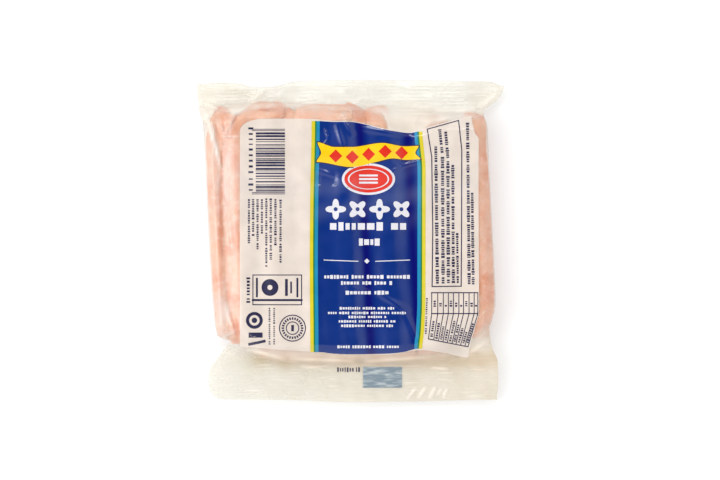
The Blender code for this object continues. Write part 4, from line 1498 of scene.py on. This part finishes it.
def build_stage():
    """A white floor in even light from all round, less of it straight above, with two lamps from the left
    and a strip from the far side, and the camera."""
    settings = bpy.context.scene.sausage_pack
    corners = np.array(((-1, -1, 0), (1, -1, 0), (1, 1, 0), (-1, 1, 0))) * FLOOR_HALF * MM
    mesh = bpy.data.meshes.new("floor")
    mesh.from_pydata(corners.tolist(), [], [(0, 1, 2, 3)])
    mesh.materials.append(floor_material())
    floor = bpy.data.objects.new("floor", mesh)
    bpy.context.scene.collection.objects.link(floor)

    world = bpy.data.worlds.new("soft_room")
    world.use_nodes = True
    tree = world.node_tree
    direction = add_node(tree, "ShaderNodeTexCoord").outputs["Generated"]
    height = add_node(tree, "ShaderNodeSeparateXYZ", links={0: direction}).outputs["Z"]
    strength = add_node(
        tree, "ShaderNodeMapRange",
        {
            "From Min": 0.88, "From Max": 0.97, "To Min": settings.room_light,
            "To Max": settings.ceiling_light,
        },
        {"Value": height},
    ).outputs["Result"]
    tree.nodes["Background"].inputs["Color"].default_value = hex_colour("#ffffff")
    tree.links.new(strength, tree.nodes["Background"].inputs["Strength"])
    bpy.context.scene.world = world

    for name, place, size, power in LAMPS:
        add_softbox(name, place, size, getattr(settings, power))

    camera = bpy.data.cameras.new("camera")
    camera.sensor_width = SENSOR_WIDTH
    camera.lens = SENSOR_WIDTH * (CAMERA_DISTANCE - FOCUS_HEIGHT) / PICTURE_WIDTH
    camera.clip_end = 100.0
    view = bpy.data.objects.new("camera", camera)
    view.location = (PICTURE_CENTRE[0] * MM, PICTURE_CENTRE[1] * MM, CAMERA_DISTANCE * MM)
    bpy.context.scene.collection.objects.link(view)
    bpy.context.scene.camera = view
    bpy.context.scene.view_settings.view_transform = "Standard"


def number_setting(label, about, value, unit="NONE"):
    """A plain setting, or one with a unit."""
    return bpy.props.FloatProperty(name=label, description=about, default=value, unit=unit)


def length_setting(label, about, millimetres):
    """A length setting, given in millimetres."""
    return number_setting(label, about, millimetres * MM, "LENGTH")


def colour_setting(label, about, code):
    """A colour setting, given as an sRGB hex colour."""
    rgb = hex_colour(code)[:3]
    return bpy.props.FloatVectorProperty(name=label, description=about, default=rgb, subtype="COLOR")


class SausagePackSettings(bpy.types.PropertyGroup):
    """Sizes and colours of the pack."""

    rib_pitch: length_setting("Rib pitch", "Distance between crimped ribs", 1.75)
    rib_height: length_setting("Rib height", "Height of a crimped rib either way", 0.06)
    pleat_height: length_setting("Pleat height", "Height of the pleats over the shoulders", 0.16)
    underside_lift: length_setting("Underside lift", "Film above the ground beside the fin seal", 0.26)
    # The film's tint and the warm haze below also serve as painted shade where the film is darkened.
    film_tint_and_shade: colour_setting("Film tint", "Light that one layer of tinted film lets through", "#e6e3d3")
    haze_colour: colour_setting("Haze", "Milky part of the film", "#f4f3ec")
    warm_haze_and_shade: colour_setting("Warm haze", "The same near the meat", "#ecdac6")
    film_haze: number_setting("Film haze", "Milkiness over the meat", 0.07)
    shoulder_haze: number_setting("Shoulder haze", "Milkiness of loose film beside the seals", 0.66)
    seal_haze: number_setting("Seal haze", "Milkiness of a seal", 0.26)
    film_roughness: number_setting("Film roughness", "Blur of its gloss where it clings", 0.25)
    taut_roughness: number_setting("Taut roughness", "Blur of its gloss on folds and facets", 0.1)
    print_roughness: number_setting("Print roughness", "Blur of its gloss", 0.12)
    film_crinkle: length_setting("Film crinkle", "Depth of loose film's crinkles", 0.08)
    print_crinkle: length_setting("Print crinkle", "Depth of the printed film's crinkles", 0.06)
    meat_colour: colour_setting("Meat", "Main colour of the sausages", "#e8b49a")
    # Lean meat's pink, which also serves as painted shade in creases and notches.
    lean_and_shade_colour: colour_setting("Lean", "Deeper pink of lean meat", "#d88a66")
    fat_colour: colour_setting("Fat", "Pale specks of fat", "#efcbbd")
    white_ink: colour_setting("White ink", "The band", "#e5d9ce")
    white_cover: number_setting("White cover", "How well white hides the meat", 0.86)
    blue_ink: colour_setting("Blue ink", "The panel", "#002a77")
    # Painted shade: the panel's blue in the valleys between sausages.
    shaded_blue_ink: colour_setting("Deep blue ink", "The panel in the valleys", "#000464")
    # Painted reflection: the pale veil mixed into the ink, and how much of it.
    reflected_veil_colour: colour_setting("Lifted haze", "Film that lifts off the ink", "#c9d2e4")
    print_haze: number_setting("Print haze", "Haze of lifted film", 0.044)
    yellow_ink: colour_setting("Yellow ink", "Ribbon", "#f2c40e")
    lemon_ink: colour_setting("Lemon ink", "Stripes", "#cfbf28")
    green_ink: colour_setting("Green ink", "Stripes", "#24783a")
    cyan_ink: colour_setting("Cyan ink", "Stripes", "#1f84b0")
    red_ink: colour_setting("Red ink", "Oval and diamonds", "#d42a12")
    dark_ink: colour_setting("Dark ink", "Bars and lines", "#2c2a48")
    block_ink: colour_setting("Block ink", "White blocks", "#dcdae0")
    grey_ink: colour_setting("Grey ink", "Mark on the seal", "#7c8b95")
    # Painted highlight: the pale grey of the ribs' sheen on the mark.
    rib_sheen_grey: colour_setting("Rubbed grey", "The mark where it is worn", "#b9c1c3")
    room_light: number_setting("Room light", "Strength of the light all round", 1.03)
    ceiling_light: number_setting("Ceiling", "Strength of the light above", 0.12)
    left_light: number_setting("Left softbox", "Its power", 6.5, "POWER")
    spark_light: number_setting("Left spark", "Its power", 4.2, "POWER")
    far_light: number_setting("Far strip", "Its power", 5.0, "POWER")


class SAUSAGEPACK_OT_film(bpy.types.Operator):
    """Builds the clear bag."""

    bl_idname = "sausage_pack.film"
    bl_label = "Film"
    bl_options = {"REGISTER", "UNDO"}

    def execute(self, context):
        build_film()
        return {"FINISHED"}


class SAUSAGEPACK_OT_sausages(bpy.types.Operator):
    """Builds the row of sausages."""

    bl_idname = "sausage_pack.sausages"
    bl_label = "Sausages"
    bl_options = {"REGISTER", "UNDO"}

    def execute(self, context):
        for number, sausage in enumerate(SAUSAGES, 1):
            build_sausage(number, *sausage)
        return {"FINISHED"}


class SAUSAGEPACK_OT_fin_seal(bpy.types.Operator):
    """Builds the seal up the back."""

    bl_idname = "sausage_pack.fin_seal"
    bl_label = "Fin seal"
    bl_options = {"REGISTER", "UNDO"}

    def execute(self, context):
        build_fin_seal()
        return {"FINISHED"}


class SAUSAGEPACK_OT_colour_print(bpy.types.Operator):
    """Builds the printed band, panel, stripes and plain marks."""

    bl_idname = "sausage_pack.colour_print"
    bl_label = "Colour print"
    bl_options = {"REGISTER", "UNDO"}

    def execute(self, context):
        build_white_print()
        build_blue_print()
        build_colour_print()
        build_white_blocks()
        return {"FINISHED"}


class SAUSAGEPACK_OT_dark_print(bpy.types.Operator):
    """Builds the dark lines and blocks on the white band."""

    bl_idname = "sausage_pack.dark_print"
    bl_label = "Dark print"
    bl_options = {"REGISTER", "UNDO"}

    def execute(self, context):
        build_dark_print()
        return {"FINISHED"}


class SAUSAGEPACK_OT_stage(bpy.types.Operator):
    """Builds the floor, the lights and the camera."""

    bl_idname = "sausage_pack.stage"
    bl_label = "Stage"
    bl_options = {"REGISTER", "UNDO"}

    def execute(self, context):
        build_stage()
        return {"FINISHED"}


OPERATORS = (
    SAUSAGEPACK_OT_film,
    SAUSAGEPACK_OT_sausages,
    SAUSAGEPACK_OT_fin_seal,
    SAUSAGEPACK_OT_colour_print,
    SAUSAGEPACK_OT_dark_print,
    SAUSAGEPACK_OT_stage,
)


class SAUSAGEPACK_PT_panel(bpy.types.Panel):
    """Lists the pieces and their settings."""

    bl_label = "Sausage Pack"
    bl_idname = "SAUSAGEPACK_PT_panel"
    bl_space_type = "VIEW_3D"
    bl_region_type = "UI"
    bl_category = "Sausage Pack"

    def draw(self, context):
        for operator in OPERATORS:
            self.layout.operator(operator.bl_idname)
        for name in SausagePackSettings.__annotations__:
            self.layout.prop(context.scene.sausage_pack, name)


CLASSES = (SausagePackSettings, *OPERATORS, SAUSAGEPACK_PT_panel)


def register():
    """Registers the classes and puts the settings on the scene."""
    for item in CLASSES:
        bpy.utils.register_class(item)
    bpy.types.Scene.sausage_pack = bpy.props.PointerProperty(type=SausagePackSettings)


def unregister():
    """Takes the settings and the classes away again."""
    del bpy.types.Scene.sausage_pack
    for item in reversed(CLASSES):
        bpy.utils.unregister_class(item)


def main():
    """Builds every piece and the stage."""
    register()
    bpy.ops.sausage_pack.film()
    bpy.ops.sausage_pack.sausages()
    bpy.ops.sausage_pack.fin_seal()
    bpy.ops.sausage_pack.colour_print()
    bpy.ops.sausage_pack.dark_print()
    bpy.ops.sausage_pack.stage()


if __name__ == "__main__":
    main()
